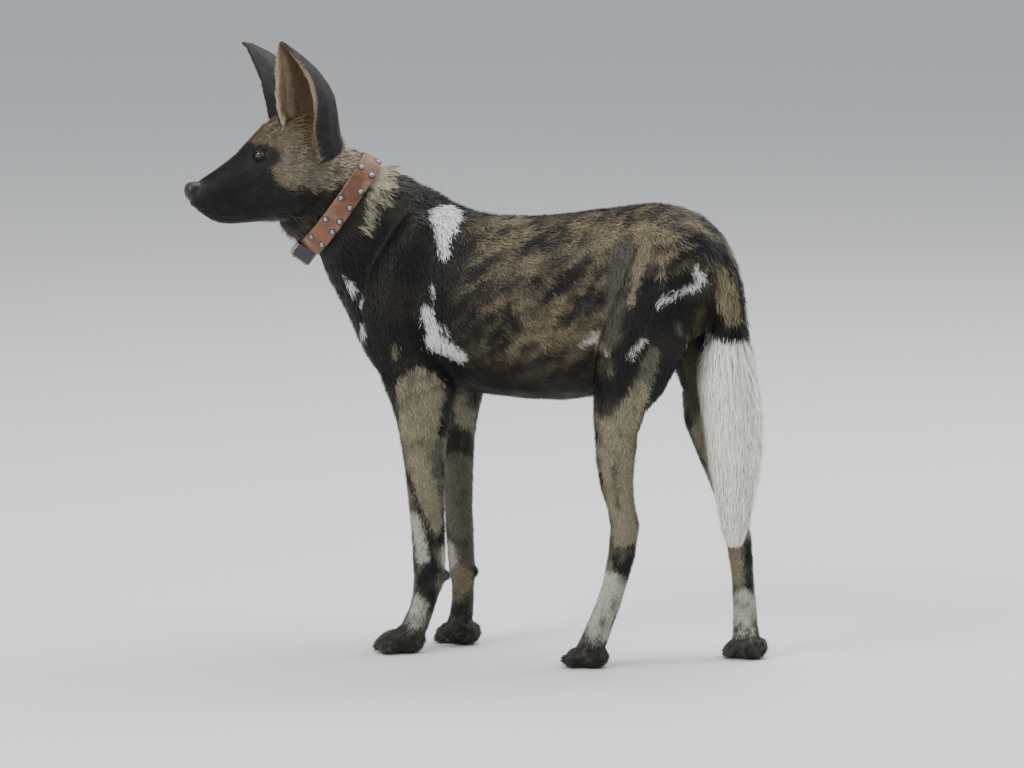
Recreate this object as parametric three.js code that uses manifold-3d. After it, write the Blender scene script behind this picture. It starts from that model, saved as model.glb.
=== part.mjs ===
// African wild dog standing with its head turned to its left, wearing a leather collar.
// Millimetres. The dog faces -X, its left side is -Y, +Z is up and z = 0 is under its soles.
import * as THREE from 'three';
import { mergeVertices } from 'three/addons/utils/BufferGeometryUtils.js';
import Module from 'manifold-3d';

const wasm = await Module();
wasm.setup();

// Driving dimensions
const UP = new THREE.Vector3(0, 0, 1);
const PART_GAP = 0.3;
const SHIFT_TO_ORIGIN = new THREE.Vector3(31, 27, 0);
const HEAD_PLACE = new THREE.Vector3(-308, -55, 744);
const HEAD_YAW = THREE.MathUtils.degToRad(217);
const TRUNK_SIDES = 20;
const HEAD_SIDES = 20;
const LEG_SIDES = 12;
const EYE_RADIUS = 11.5;
const EYE_CENTRE = new THREE.Vector3(84, 30, 19);
const EYE_LOOK = new THREE.Vector3(0.45, 0.86, 0.24).normalize();
const LID_THICKNESS = 2.6;
const COLLAR_WIDTH = 33;
const COLLAR_THICKNESS = 6;
const COLLAR_CENTRE = new THREE.Vector3(-268, -30, 688);
const COLLAR_AXIS = new THREE.Vector3(-0.719, -0.366, 0.568).normalize();
const COLLAR_BACK = COLLAR_CENTRE.clone().addScaledVector(COLLAR_AXIS, -COLLAR_WIDTH / 2);
const COLLAR_DOWN = new THREE.Vector3(-0.563, -0.124, -0.817).normalize();
const UNIT_SIZE = [34, 30, 24];
const UNIT_DROP = 99;

const COAT_BLACK = { color: 0x2b2622, roughness: 0.9 };
const COAT_TAN = { color: 0x8d7350, roughness: 0.9 };
const COAT_WHITE = { color: 0xd9d6cc, roughness: 0.9 };
const COAT_GREY = { color: 0x5f574b, roughness: 0.9 };
const NOSE_SKIN = { color: 0x17161a, roughness: 0.4 };
const EYE_GLASS = { color: 0x6b3a14, roughness: 0.1 };
const CLAW_HORN = { color: 0x241f1b, roughness: 0.5 };
const LEATHER = { color: 0xa4623a, roughness: 0.6 };
const UNIT_METAL = { color: 0x55555a, roughness: 0.35, metalness: 0.9 };

// Solids and joins
function toSolid(geometry) {
  const plain = geometry.clone();
  plain.deleteAttribute('normal');
  plain.deleteAttribute('uv');
  const merged = mergeVertices(plain, 1e-4);
  return new wasm.Manifold(new wasm.Mesh({
    numProp: 3,
    vertProperties: new Float32Array(merged.attributes.position.array),
    triVerts: new Uint32Array(merged.index.array),
  }));
}

function largestBody(solid) {
  const bodies = solid.decompose();
  return bodies.reduce((best, body) => (body.volume() > best.volume() ? body : best));
}

function toGeometry(solid) {
  const mesh = solid.getMesh();
  const geometry = new THREE.BufferGeometry();
  geometry.setAttribute('position', new THREE.BufferAttribute(new Float32Array(mesh.vertProperties), 3));
  geometry.setIndex(new THREE.BufferAttribute(new Uint32Array(mesh.triVerts), 1));
  geometry.computeVertexNormals();
  return geometry;
}

function joined(solids) {
  return solids.reduce((sum, solid) => sum.add(solid));
}

function signedVolume(points, faces) {
  let volume = 0;
  const cross = new THREE.Vector3();
  for (const [a, b, c] of faces) {
    volume += points[a].dot(cross.crossVectors(points[b], points[c])) / 6;
  }
  return volume;
}

function closedMesh(points, faces) {
  const outward = signedVolume(points, faces) > 0;
  const geometry = new THREE.BufferGeometry();
  geometry.setAttribute('position', new THREE.Float32BufferAttribute(points.flatMap((p) => p.toArray()), 3));
  geometry.setIndex(faces.flatMap(([a, b, c]) => (outward ? [a, b, c] : [a, c, b])));
  return geometry;
}

// Joins equal rings of points into a closed skin, with a fan over each end.
function skinRings(rings) {
  const sides = rings[0].length;
  const points = rings.flat();
  const faces = [];
  for (let r = 0; r + 1 < rings.length; r += 1) {
    for (let s = 0; s < sides; s += 1) {
      const here = r * sides + s;
      const next = r * sides + ((s + 1) % sides);
      faces.push([here, next, here + sides], [next, next + sides, here + sides]);
    }
  }
  const last = (rings.length - 1) * sides;
  for (const [start, flip] of [[0, true], [last, false]]) {
    const centre = new THREE.Vector3();
    for (let s = 0; s < sides; s += 1) centre.addScaledVector(points[start + s], 1 / sides);
    points.push(centre);
    const hub = points.length - 1;
    for (let s = 0; s < sides; s += 1) {
      const next = start + ((s + 1) % sides);
      faces.push(flip ? [hub, next, start + s] : [hub, start + s, next]);
    }
  }
  return closedMesh(points, faces);
}

// Smooth values through the rows of a table, at a place from 0 to 1 along it.
function smoothRows(rows) {
  const columns = rows[0].map((_, column) => rows.map((row) => row[column]));
  return (t) => columns.map((values) => {
    const place = t * (values.length - 1);
    const i = Math.min(Math.floor(place), values.length - 2);
    const f = place - i;
    const before = values[Math.max(i - 1, 0)];
    const after = values[Math.min(i + 2, values.length - 1)];
    const slopeIn = (values[i + 1] - before) / 2;
    const slopeOut = (after - values[i]) / 2;
    const f2 = f * f;
    const f3 = f2 * f;
    return (2 * f3 - 3 * f2 + 1) * values[i] + (f3 - 2 * f2 + f) * slopeIn
      + (3 * f2 - 2 * f3) * values[i + 1] + (f3 - f2) * slopeOut;
  });
}

// A point on a body between two outlines in the XZ plane. Its values are
// [upper x, upper z, lower x, lower z, middle y, half width].
function outlinePoint([ux, uz, lx, lz, y, half], angle, grow, pinch) {
  const up = new THREE.Vector3(ux - lx, 0, uz - lz).multiplyScalar(0.5);
  const reach = up.length() + grow;
  const narrowing = Math.sin(angle) > 0 ? pinch[0] : pinch[1];
  const across = Math.sign(Math.cos(angle)) * Math.abs(Math.cos(angle)) ** narrowing;
  return new THREE.Vector3((ux + lx) / 2, y + (half + grow) * across, (uz + lz) / 2)
    .addScaledVector(up.normalize(), reach * Math.sin(angle));
}

function outlineLoft(rows, sides, steps, grow = 0, pinch = [1, 1]) {
  const at = smoothRows(rows);
  const rings = [];
  for (let k = 0; k <= steps; k += 1) {
    const values = at(k / steps);
    const ring = [];
    for (let s = 0; s < sides; s += 1) {
      ring.push(outlinePoint(values, (2 * Math.PI * (s + 0.5)) / sides, grow, pinch));
    }
    rings.push(ring);
  }
  return skinRings(rings);
}

// A limb along a centre line. Each row is [x, y, z, front reach, back reach, half width].
function limbLoft(rows, facing, sides, steps, grow = 0) {
  const at = smoothRows(rows);
  const place = (t) => new THREE.Vector3(...at(THREE.MathUtils.clamp(t, 0, 1)).slice(0, 3));
  const nudge = 0.5 / steps;
  const rings = [];
  for (let k = 0; k <= steps; k += 1) {
    const t = k / steps;
    const [, , , front, back, half] = at(t);
    const along = place(t + nudge).sub(place(t - nudge)).normalize();
    const ahead = facing.clone().addScaledVector(along, -facing.dot(along)).normalize();
    const aside = new THREE.Vector3().crossVectors(along, ahead);
    const ring = [];
    for (let s = 0; s < sides; s += 1) {
      const angle = (2 * Math.PI * (s + 0.5)) / sides;
      const reach = Math.cos(angle) > 0 ? front : back;
      ring.push(place(t)
        .addScaledVector(ahead, (reach + grow) * Math.cos(angle))
        .addScaledVector(aside, (half + grow) * Math.sin(angle)));
    }
    rings.push(ring);
  }
  return skinRings(rings);
}

function ellipsoid(centre, radii, around = 14, down = 10, tilt = [0, 0, 0]) {
  const geometry = new THREE.SphereGeometry(1, around, down);
  geometry.scale(...radii);
  geometry.applyMatrix4(new THREE.Matrix4().makeRotationFromEuler(new THREE.Euler(...tilt)));
  geometry.translate(...centre);
  return geometry;
}

const HALF_SPACE = 1400;

// A block that fills the space on the far side of a plane.
function halfSpace(point, normal, offset = 0) {
  const geometry = new THREE.BoxGeometry(HALF_SPACE, HALF_SPACE, HALF_SPACE);
  geometry.translate(HALF_SPACE / 2, 0, 0);
  const turn = new THREE.Quaternion().setFromUnitVectors(new THREE.Vector3(1, 0, 0), normal);
  geometry.applyQuaternion(turn);
  geometry.translate(...point.clone().addScaledVector(normal, offset).toArray());
  return toSolid(geometry);
}

// Parts a solid with a thin cut: the piece behind the plane and the piece beyond it.
function parted(solid, point, normal) {
  return [
    largestBody(solid.subtract(halfSpace(point, normal))),
    largestBody(solid.intersect(halfSpace(point, normal, PART_GAP))),
  ];
}

const dog = new THREE.Group();
dog.position.copy(SHIFT_TO_ORIGIN);

function addNode(name, solid, finish) {
  const mesh = new THREE.Mesh(toGeometry(solid), new THREE.MeshStandardMaterial(finish));
  mesh.name = name;
  dog.add(mesh);
}

// Trunk and neck
const BODY_ROWS = [
  [350, 612, 350, 590, 0, 12],
  [341, 640, 345, 560, 0, 36],
  [322, 667, 326, 525, 0, 55],
  [292, 690, 292, 496, 0, 64],
  [245, 702, 245, 466, 0, 68],
  [190, 696, 190, 426, 0, 76],
  [126, 687, 122, 398, 0, 88],
  [55, 676, 50, 393, 0, 96],
  [-15, 674, -22, 396, 0, 95],
  [-75, 682, -88, 402, 0, 88],
  [-120, 704, -152, 398, 0, 77],
  [-150, 717, -208, 412, 0, 70],
  [-172, 727, -240, 455, -2, 68],
  [-186, 734, -260, 505, -8, 67],
  [-198, 739, -284, 552, -15, 66],
  [-210, 745, -302, 592, -22, 65],
  [-223, 754, -314, 620, -30, 64],
  [-240, 764, -334, 626, -40, 62],
  [-262, 776, -352, 642, -54, 58],
  [-286, 780, -354, 664, -62, 48],
];
const BODY_STEPS = 26;
const BODY_PINCH = [0.95, 1.12];
const NECK_BASE_POINT = new THREE.Vector3(-140, 0, 712);
const NECK_BASE_NORMAL = new THREE.Vector3(-0.861, 0, 0.508).normalize();

function bodySolid(grow = 0) {
  return toSolid(outlineLoft(BODY_ROWS, TRUNK_SIDES, BODY_STEPS, grow, BODY_PINCH));
}

// Head, in its own frame: x to the nose, y to its left, z up
const HEAD_MATRIX = new THREE.Matrix4().makeRotationZ(HEAD_YAW).setPosition(HEAD_PLACE);
const HEAD_ROWS = [
  [-50, 26, -42, -26, 0, 26],
  [-42, 50, -30, -52, 0, 46],
  [-20, 68, -8, -72, 0, 61],
  [8, 79, 20, -80, 0, 69],
  [36, 79, 45, -83, 0, 69],
  [58, 71, 68, -83, 0, 61],
  [78, 57, 86, -84, 0, 50],
  [96, 39, 101, -85, 0, 41],
  [115, 19, 116, -86, 0, 35],
  [135, 4, 135, -86, 0, 31],
  [155, -9, 152, -81, 0, 28],
  [172, -20, 167, -71, 0, 25],
  [184, -28, 178, -62, 0, 20],
  [189, -36, 186, -55, 0, 11],
];
const HEAD_STEPS = 18;
const HEAD_PINCH = [1.15, 0.88];
const MOUTH_CORNER = [106, -68];
const MOUTH_MIDDLE = [150, -66];
const MOUTH_FRONT = [186, -58];
const MOUTH_PAST_NOSE = 14;
const MOUTH_SIDE = 60;
const MOUTH_SLIT = 1.8;
const LIP_DEPTH = 4;

function headPiece(geometry) {
  return toSolid(geometry.clone().applyMatrix4(HEAD_MATRIX));
}

function bothSides(make) {
  return [1, -1].map(make);
}

const BROW_RADII = [24, 14, 6];

function skullSolid(grow = 0) {
  const brows = bothSides((side) => {
    const tilt = [side * -0.5, 0.6, side * -0.25];
    return headPiece(ellipsoid([80, side * 24, 36], BROW_RADII.map((r) => r + grow), 9, 6, tilt));
  });
  return joined([headPiece(outlineLoft(HEAD_ROWS, HEAD_SIDES, HEAD_STEPS, grow, HEAD_PINCH)), ...brows]);
}

// The lips close over a narrow slit that follows the line of the mouth round the muzzle.
function mouthLine(side, lift) {
  const line = new THREE.CatmullRomCurve3([
    new THREE.Vector3(MOUTH_CORNER[0], side * MOUTH_SIDE, MOUTH_CORNER[1] + lift),
    new THREE.Vector3(MOUTH_MIDDLE[0], side * MOUTH_SIDE, MOUTH_MIDDLE[1] + lift),
    new THREE.Vector3(MOUTH_FRONT[0], side * MOUTH_SIDE, MOUTH_FRONT[1] + lift),
  ]);
  return line.getPoints(5);
}

function ontoFace(points, face, inset) {
  const caster = new THREE.Raycaster();
  return points.map((point) => {
    const side = Math.sign(point.y);
    caster.set(point.clone().setY(side * 2 * MOUTH_SIDE), new THREE.Vector3(0, -side, 0));
    const hit = caster.intersectObject(face)[0];
    return hit ? hit.point.setY(hit.point.y - side * inset) : null;
  }).filter(Boolean);
}

function tube(points, radius, sides) {
  const rows = points.map((p, i) => {
    const end = i === 0 || i === points.length - 1;
    return [p.x, p.y, p.z, end ? radius / 3 : radius, end ? radius / 3 : radius, end ? radius / 3 : radius];
  });
  return limbLoft(rows, UP, sides, points.length - 1);
}

function mouthSlit() {
  const slab = new THREE.Shape();
  const front = MOUTH_FRONT[0] + MOUTH_PAST_NOSE;
  slab.moveTo(...MOUTH_CORNER);
  slab.quadraticCurveTo(MOUTH_MIDDLE[0], MOUTH_MIDDLE[1] - 2, front, MOUTH_FRONT[1]);
  slab.lineTo(front, MOUTH_FRONT[1] + MOUTH_SLIT);
  slab.quadraticCurveTo(MOUTH_MIDDLE[0], MOUTH_MIDDLE[1] - 2 + MOUTH_SLIT,
    MOUTH_CORNER[0], MOUTH_CORNER[1] + 0.4);
  const cut = { depth: 2 * MOUTH_SIDE, bevelEnabled: false, curveSegments: 3 };
  const plate = new THREE.ExtrudeGeometry(slab, cut);
  plate.rotateX(Math.PI / 2);
  plate.translate(0, MOUTH_SIDE, 0);
  const core = outlineLoft(HEAD_ROWS, HEAD_SIDES, HEAD_STEPS, -LIP_DEPTH, HEAD_PINCH);
  return headPiece(plate).subtract(headPiece(core));
}

function eyeCentre(side) {
  return new THREE.Vector3(EYE_CENTRE.x, side * EYE_CENTRE.y, EYE_CENTRE.z);
}

function eyeBall(side, grow) {
  return headPiece(ellipsoid(eyeCentre(side).toArray(), Array(3).fill(EYE_RADIUS + grow), 12, 8));
}

// The almond between the lids, seen along the look of the eye: across and up from its middle.
const EYE_FRONT_CORNER = [-13, -1.5];
const EYE_REAR_CORNER = [12, 2];
const UPPER_LID_ARCH = 11;
const LOWER_LID_ARCH = 9;

// Two lids are a shell over the eyeball with an almond opening between them.
function lids(side) {
  const shell = ellipsoid(eyeCentre(side).toArray(), Array(3).fill(EYE_RADIUS + LID_THICKNESS), 12, 8);
  const almond = new THREE.Shape();
  almond.moveTo(...EYE_FRONT_CORNER);
  almond.quadraticCurveTo(0, UPPER_LID_ARCH, ...EYE_REAR_CORNER);
  almond.quadraticCurveTo(0, -LOWER_LID_ARCH, ...EYE_FRONT_CORNER);
  const cut = { depth: 3 * EYE_RADIUS, bevelEnabled: false, curveSegments: 4 };
  const opening = new THREE.ExtrudeGeometry(almond, cut);
  const look = new THREE.Vector3(EYE_LOOK.x, side * EYE_LOOK.y, EYE_LOOK.z);
  const across = UP.clone().cross(look).normalize();
  const upward = look.clone().cross(across);
  opening.applyMatrix4(new THREE.Matrix4().makeBasis(across, upward, look));
  opening.translate(...eyeCentre(side).toArray());
  return headPiece(shell).subtract(headPiece(opening));
}

// Ears: a sheet that wraps round into a tube at its foot and opens to a pointed blade.
// Each row is [forward, aside, up, radius, wrap in degrees, thickness].
const EAR_ROWS = [
  [-10, 46, 18, 28, 150, 7.0],
  [4, 49, 45, 37, 138, 5.6],
  [13, 52, 70, 43, 128, 4.8],
  [20, 55, 90, 46, 118, 4.4],
  [27, 58, 108, 44, 108, 4.0],
  [38, 64, 135, 36, 97, 3.6],
  [52, 72, 162, 23, 88, 3.2],
  [62, 79, 184, 9, 80, 2.8],
  [65, 82, 192, 3, 75, 2.4],
];
const EAR_STEPS = 8;
const EAR_COLUMNS = 8;
const EAR_TURN_OUT = THREE.MathUtils.degToRad(30);
// The right ear is pricked further forward than the left one.
const EAR_POSE = { left: { lean: 0, drop: 0, size: 1 }, right: { lean: 22, drop: 11, size: 0.92 } };

function earGeometry(name, grow) {
  const side = name === 'left' ? 1 : -1;
  const at = smoothRows(EAR_ROWS);
  const pose = EAR_POSE[name];
  const place = (t) => {
    const [ahead, aside, up] = at(t);
    return new THREE.Vector3(ahead + pose.lean * t * t, side * aside, up - pose.drop * t * t);
  };
  const axis = place(1).sub(place(0)).normalize();
  const open = new THREE.Vector3(Math.cos(EAR_TURN_OUT), side * Math.sin(EAR_TURN_OUT), 0);
  open.addScaledVector(axis, -open.dot(axis)).normalize();
  const across = new THREE.Vector3().crossVectors(axis, open);
  const layer = (shift) => {
    const grid = [];
    for (let k = 0; k <= EAR_STEPS; k += 1) {
      const t = k / EAR_STEPS;
      const [, , , radius, wrap, thick] = at(t);
      const reach = radius * pose.size + shift * (thick / 2 + grow);
      const half = THREE.MathUtils.degToRad(wrap) + grow / radius;
      const end = k === EAR_STEPS ? grow : 0;
      for (let c = 0; c <= EAR_COLUMNS; c += 1) {
        const angle = ((2 * c) / EAR_COLUMNS - 1) * half;
        grid.push(place(t).addScaledVector(axis, end)
          .addScaledVector(across, reach * Math.sin(angle))
          .addScaledVector(open, -reach * Math.cos(angle)));
      }
    }
    return grid;
  };
  const points = [...layer(1), ...layer(-1)];
  const row = EAR_COLUMNS + 1;
  const count = row * (EAR_STEPS + 1);
  const faces = [];
  const quad = (a, b, c, d) => faces.push([a, b, c], [a, c, d]);
  for (let k = 0; k < EAR_STEPS; k += 1) {
    for (let c = 0; c < EAR_COLUMNS; c += 1) {
      const a = k * row + c;
      quad(a, a + 1, a + 1 + row, a + row);
      const inner = count + a;
      faces.push([inner, inner + 1 + row, inner + 1], [inner, inner + row, inner + 1 + row]);
    }
    const first = k * row;
    const last = first + EAR_COLUMNS;
    quad(first, first + row, count + first + row, count + first);
    quad(last, count + last, count + last + row, last + row);
  }
  for (let c = 0; c < EAR_COLUMNS; c += 1) {
    quad(c, count + c, count + c + 1, c + 1);
    const a = EAR_STEPS * row + c;
    quad(a, a + 1, count + a + 1, count + a);
  }
  return closedMesh(points, faces);
}

function earSolid(name, grow = 0) {
  return headPiece(earGeometry(name, grow));
}

// Nose pad with two comma nostrils
const NOSE_CENTRE = [184, 0, -40];
const NOSE_RADII = [12, 16, 13];

function noseSolid(grow = 0) {
  return headPiece(ellipsoid(NOSE_CENTRE, NOSE_RADII.map((r) => r + grow), 14, 9, [0, 0.25, 0]));
}

function nostrils() {
  return joined(bothSides((side) => headPiece(
    ellipsoid([195, side * 8, -39], [7, 3.2, 4.4], 8, 5, [side * 0.5, 0, side * 0.5]))));
}

const skull = skullSolid();
const lipFace = new THREE.Mesh(outlineLoft(HEAD_ROWS, HEAD_SIDES, HEAD_STEPS, 0, HEAD_PINCH),
  new THREE.MeshBasicMaterial({ side: THREE.DoubleSide }));
const LIP_RADIUS = 3.4;
const LIP_SIDES = 4;
const LIP_RISE = 3.2;
const lips = bothSides((side) => [LIP_RISE + MOUTH_SLIT / 2, -LIP_RISE].map((lift) => headPiece(
  tube(ontoFace(mouthLine(side, lift), lipFace, 1.6), LIP_RADIUS, LIP_SIDES)))).flat();
const earSockets = ['left', 'right'].map((name) => earSolid(name, PART_GAP));
const headWithFace = joined([skull, ...lips, ...bothSides(lids)]);
const headCuts = joined([
  mouthSlit(),
  noseSolid(PART_GAP),
  ...bothSides((side) => eyeBall(side, PART_GAP)),
  ...earSockets,
]);
addNode('head', largestBody(headWithFace.subtract(headCuts)), COAT_GREY);
addNode('nose', largestBody(noseSolid().subtract(nostrils())), NOSE_SKIN);
for (const name of ['left', 'right']) addNode(`ear_${name}`, earSolid(name), COAT_BLACK);
bothSides((side) => addNode(side > 0 ? 'eye_left' : 'eye_right', eyeBall(side, 0), EYE_GLASS));

// Legs: each centre line runs from the girdle to the paw
const FORE_REACH = [
  [30, 30, 24], [44, 46, 34], [48, 60, 37], [48, 62, 37], [50, 54, 31], [38, 36, 25],
  [30, 30, 21.5], [25, 26, 19], [24, 24, 19.5], [19, 19, 17.5], [18, 18, 18], [19, 19, 20],
];
const HIND_REACH = [
  [40, 34, 26], [70, 58, 35], [76, 68, 38], [70, 68, 36], [62, 62, 31], [46, 46, 26], [36, 36, 22],
  [31, 31, 19], [26, 26, 16], [22, 22, 14.5], [23, 24, 15], [19, 19, 14.5], [18.5, 18.5, 14.5],
  [19, 19, 16.5], [20, 20, 20],
];
const LEGS = {
  front_left: {
    line: [[-122, -44, 668], [-152, -51, 602], [-170, -57, 540], [-154, -62, 472], [-119, -70, 405],
      [-118, -67, 350], [-118, -63, 290], [-116, -58, 205], [-113, -55, 127],
      [-121, -54, 90], [-131, -52, 60], [-148, -51, 26]],
    reach: FORE_REACH, facing: 20, side: -1, bulk: 1.05, elbow: 398, wrist: 62,
    paw: { place: [-161, -53], size: 1.0 }, pad: [-88, -54, 124],
  },
  front_right: {
    line: [[-120, 44, 668], [-148, 51, 602], [-164, 57, 540], [-148, 61, 472], [-113, 64, 405],
      [-114, 62, 350], [-113, 60, 290], [-109, 54, 205], [-103, 51, 127],
      [-100, 50, 90], [-101, 50, 60], [-106, 50, 26]],
    reach: FORE_REACH, facing: 20, side: 1, bulk: 0.97, elbow: 398, wrist: 62,
    paw: { place: [-107, 52], size: 0.97 }, pad: [-83, 51, 114],
  },
  hind_left: {
    line: [[258, -44, 668], [262, -52, 600], [248, -60, 540], [232, -67, 500], [220, -75, 455],
      [204, -80, 412], [198, -81, 370], [196, -79, 320], [198, -77, 275], [206, -75, 240], [209, -73, 205],
      [196, -70, 145], [184, -69, 105], [170, -68, 70], [152, -67, 26]],
    reach: HIND_REACH, facing: 2, side: -1, bulk: 1.0, elbow: 432, wrist: 64,
    paw: { place: [147, -67], size: 0.9 },
  },
  hind_right: {
    line: [[260, 44, 668], [266, 52, 600], [272, 59, 540], [280, 65, 500], [288, 71, 455], [288, 76, 412],
      [280, 80, 370], [296, 84, 320], [311, 86, 275], [322, 87, 240], [331, 88, 205], [339, 90, 145],
      [343, 90, 105], [345, 90, 70], [347, 90, 26]],
    reach: HIND_REACH, facing: 12, side: 1, bulk: 1.0, elbow: 432, wrist: 64,
    paw: { place: [348, 91], size: 0.9 },
  },
};
const LEG_STEPS = 16;

function facingOf(leg) {
  const turn = THREE.MathUtils.degToRad(leg.facing);
  return new THREE.Vector3(-Math.cos(turn), leg.side * Math.sin(turn), 0);
}

function legLoft(leg, grow = 0) {
  const rows = leg.line.map((point, i) => [...point, ...leg.reach[i].map((r) => r * leg.bulk)]);
  return toSolid(limbLoft(rows, facingOf(leg), LEG_SIDES, LEG_STEPS, grow));
}

// Paw in its own frame: x to the toes, y to its left, z up from the ground
const TOES = [
  { root: [2, -20, 20], tip: [20, -24, 9], radius: 10 },
  { root: [8, -8.5, 24], tip: [31, -9.5, 11], radius: 10.5 },
  { root: [8, 8.5, 24], tip: [31, 9.5, 11], radius: 10.5 },
  { root: [2, 20, 20], tip: [20, 24, 9], radius: 10 },
];
const CLAW_LENGTH = 11;
const CLAW_RADIUS = 3.1;

function pawMatrix(leg) {
  const facing = facingOf(leg);
  const matrix = new THREE.Matrix4().makeRotationZ(Math.atan2(facing.y, facing.x));
  matrix.scale(new THREE.Vector3(1, 1, 1).multiplyScalar(leg.paw.size));
  return matrix.setPosition(leg.paw.place[0], leg.paw.place[1], 0);
}

function pawPiece(leg, geometry) {
  return toSolid(geometry.clone().applyMatrix4(pawMatrix(leg)));
}

function toeGeometry(toe) {
  const [rx, ry, rz] = toe.root;
  const [tx, ty, tz] = toe.tip;
  const r = toe.radius;
  return limbLoft([
    [rx - 6, ry, rz - 2, 4, 4, 4],
    [rx, ry, rz, r, r, r],
    [(rx + tx) / 2, (ry + ty) / 2, (rz + tz) / 2 + 5, r, r, r],
    [tx, ty, tz + 1, r, r, r * 0.92],
    [tx + 8, ty, tz - 3, 4, 5, 5],
  ], UP, 6, 4);
}

function clawGeometry(toe, grow = 0) {
  const [tx, ty, tz] = toe.tip;
  const spread = Math.sign(ty) * (Math.abs(ty) > 15 ? 0.18 : 0);
  const rows = [0, 0.4, 0.75, 1].map((t) => {
    const radius = CLAW_RADIUS * (1 - 0.82 * t ** 1.4) + grow;
    const ahead = t * CLAW_LENGTH + (t === 1 ? grow : 0);
    return [tx + 4 + ahead, ty + ahead * spread, tz + 1.5 - 5 * t * t, radius, radius, radius * 0.8];
  });
  return limbLoft(rows, UP, 4, 3);
}

function pawSolid(leg) {
  const palm = ellipsoid([-8, 0, 19], [31, 27, 22], 9, 6);
  const solids = [pawPiece(leg, palm), ...TOES.map((toe) => pawPiece(leg, toeGeometry(toe)))];
  return joined(solids);
}

const CARPAL_PAD_RADII = [10, 8, 9];
// The rump and tail come together here, so each leg is cut clear of the tail.
const TAIL_ROWS = [
  [300, 682, 286, 652, 0, 15],
  [330, 664, 300, 630, 0, 23],
  [352, 631, 308, 603, 0, 27],
  [366, 590, 312, 570, 0, 30],
  [374, 542, 316, 530, 0, 32],
  [379, 497, 319, 495, 0, 34],
  [393, 450, 321, 450, 0, 37],
  [405, 400, 322, 400, 0, 38],
  [406, 350, 322, 350, 0, 38],
  [396, 300, 325, 300, 0, 34],
  [384, 250, 333, 250, 0, 25],
  [372, 210, 341, 210, 0, 14],
  [364, 184, 352, 184, 0, 4],
];
const TAIL_STEPS = 20;
const TAIL_SIDES = 12;
const TAIL_SPLIT = new THREE.Vector3(350, 0, 500);

function tailSolid(grow = 0) {
  return toSolid(outlineLoft(TAIL_ROWS, TAIL_SIDES, TAIL_STEPS, grow));
}

for (const [name, leg] of Object.entries(LEGS)) {
  const pieces = [legLoft(leg), pawSolid(leg)];
  if (leg.pad) pieces.push(toSolid(ellipsoid(leg.pad, CARPAL_PAD_RADII, 8, 6)));
  const claws = TOES.map((toe) => pawPiece(leg, clawGeometry(toe)));
  const sockets = TOES.map((toe) => pawPiece(leg, clawGeometry(toe, PART_GAP)));
  const ground = halfSpace(new THREE.Vector3(), UP);
  const whole = joined(pieces).intersect(ground).subtract(tailSolid(PART_GAP));
  const elbow = new THREE.Vector3(0, 0, leg.elbow);
  const wrist = new THREE.Vector3(0, 0, leg.wrist);
  const [below, upper] = parted(whole, elbow, UP);
  const [foot, lower] = parted(below, wrist, UP);
  addNode(`${name}_upper`, upper, COAT_BLACK);
  addNode(`${name}_lower`, lower, COAT_TAN);
  addNode(`${name}_foot`, largestBody(foot.subtract(joined(sockets))), COAT_BLACK);
  claws.forEach((claw, i) => addNode(`${name}_claw_${i + 1}`, claw, CLAW_HORN));
}

// A repeatable draw, so that the locks fall the same way each time.
function seededDraw(seed) {
  let state = seed;
  return (low, high) => {
    state = (state * 1664525 + 1013904223) % 4294967296;
    return low + (high - low) * (state / 4294967296);
  };
}

// One flat lock along a bend from its root to its tip, widest a third of the way down.
// Its four corners lie on the diagonals of its ring.
const DIAGONAL = Math.SQRT1_2;
const LOCK_WIDTH = 25;
const LOCK_THICKNESS = 4.5;
const LOCK_TAPER = [[0, 0.7], [0.35, 1], [0.7, 0.68], [1, 0.1]];

function lockSolid(root, middle, tip, outward, width, thickness) {
  const bend = new THREE.QuadraticBezierCurve3(root, middle, tip);
  const rows = LOCK_TAPER.map(([t, share]) => {
    const depth = thickness * (0.5 + 0.5 * share) * DIAGONAL;
    return [...bend.getPoint(t).toArray(), depth, depth, width * share * DIAGONAL];
  });
  return toSolid(limbLoft(rows, outward, 4, 3));
}

// Neck, torso and tail
const [torsoPiece, neckPiece] = parted(bodySolid(), NECK_BASE_POINT, NECK_BASE_NORMAL);

// The longer hair of the nape lies back in locks from the rear edge of the collar.
const NAPE_ACROSS = 7;
const NAPE_SPREAD = THREE.MathUtils.degToRad(17);
const NAPE_LENGTH = 1.7 / (BODY_ROWS.length - 1);
const NAPE_LIFT = 7;
const NAPE_CLEAR = 3;
const NAPE_SEARCH_STEP = 0.002;

function napeLocks() {
  const draw = seededDraw(11);
  const at = smoothRows(BODY_ROWS);
  const skin = (t, angle, lift) => outlinePoint(at(t), angle, lift, BODY_PINCH);
  const ahead = (point) => point.sub(COLLAR_BACK).dot(COLLAR_AXIS);
  const locks = [];
  for (let n = 0; n < NAPE_ACROSS; n += 1) {
    const angle = Math.PI / 2 + (n - (NAPE_ACROSS - 1) / 2) * NAPE_SPREAD;
    let root = 1;
    while (ahead(skin(root, angle, 0)) > -NAPE_CLEAR) root -= NAPE_SEARCH_STEP;
    const length = NAPE_LENGTH * draw(0.8, 1.1);
    const outward = skin(root, angle, 1).sub(skin(root, angle, 0));
    locks.push(lockSolid(skin(root, angle, -3), skin(root - length / 2, angle, NAPE_LIFT),
      skin(root - length, angle + draw(-0.1, 0.1), NAPE_LIFT), outward, LOCK_WIDTH, LOCK_THICKNESS));
  }
  return joined(locks).subtract(halfSpace(COLLAR_BACK, COLLAR_AXIS, -PART_GAP));
}

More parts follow.
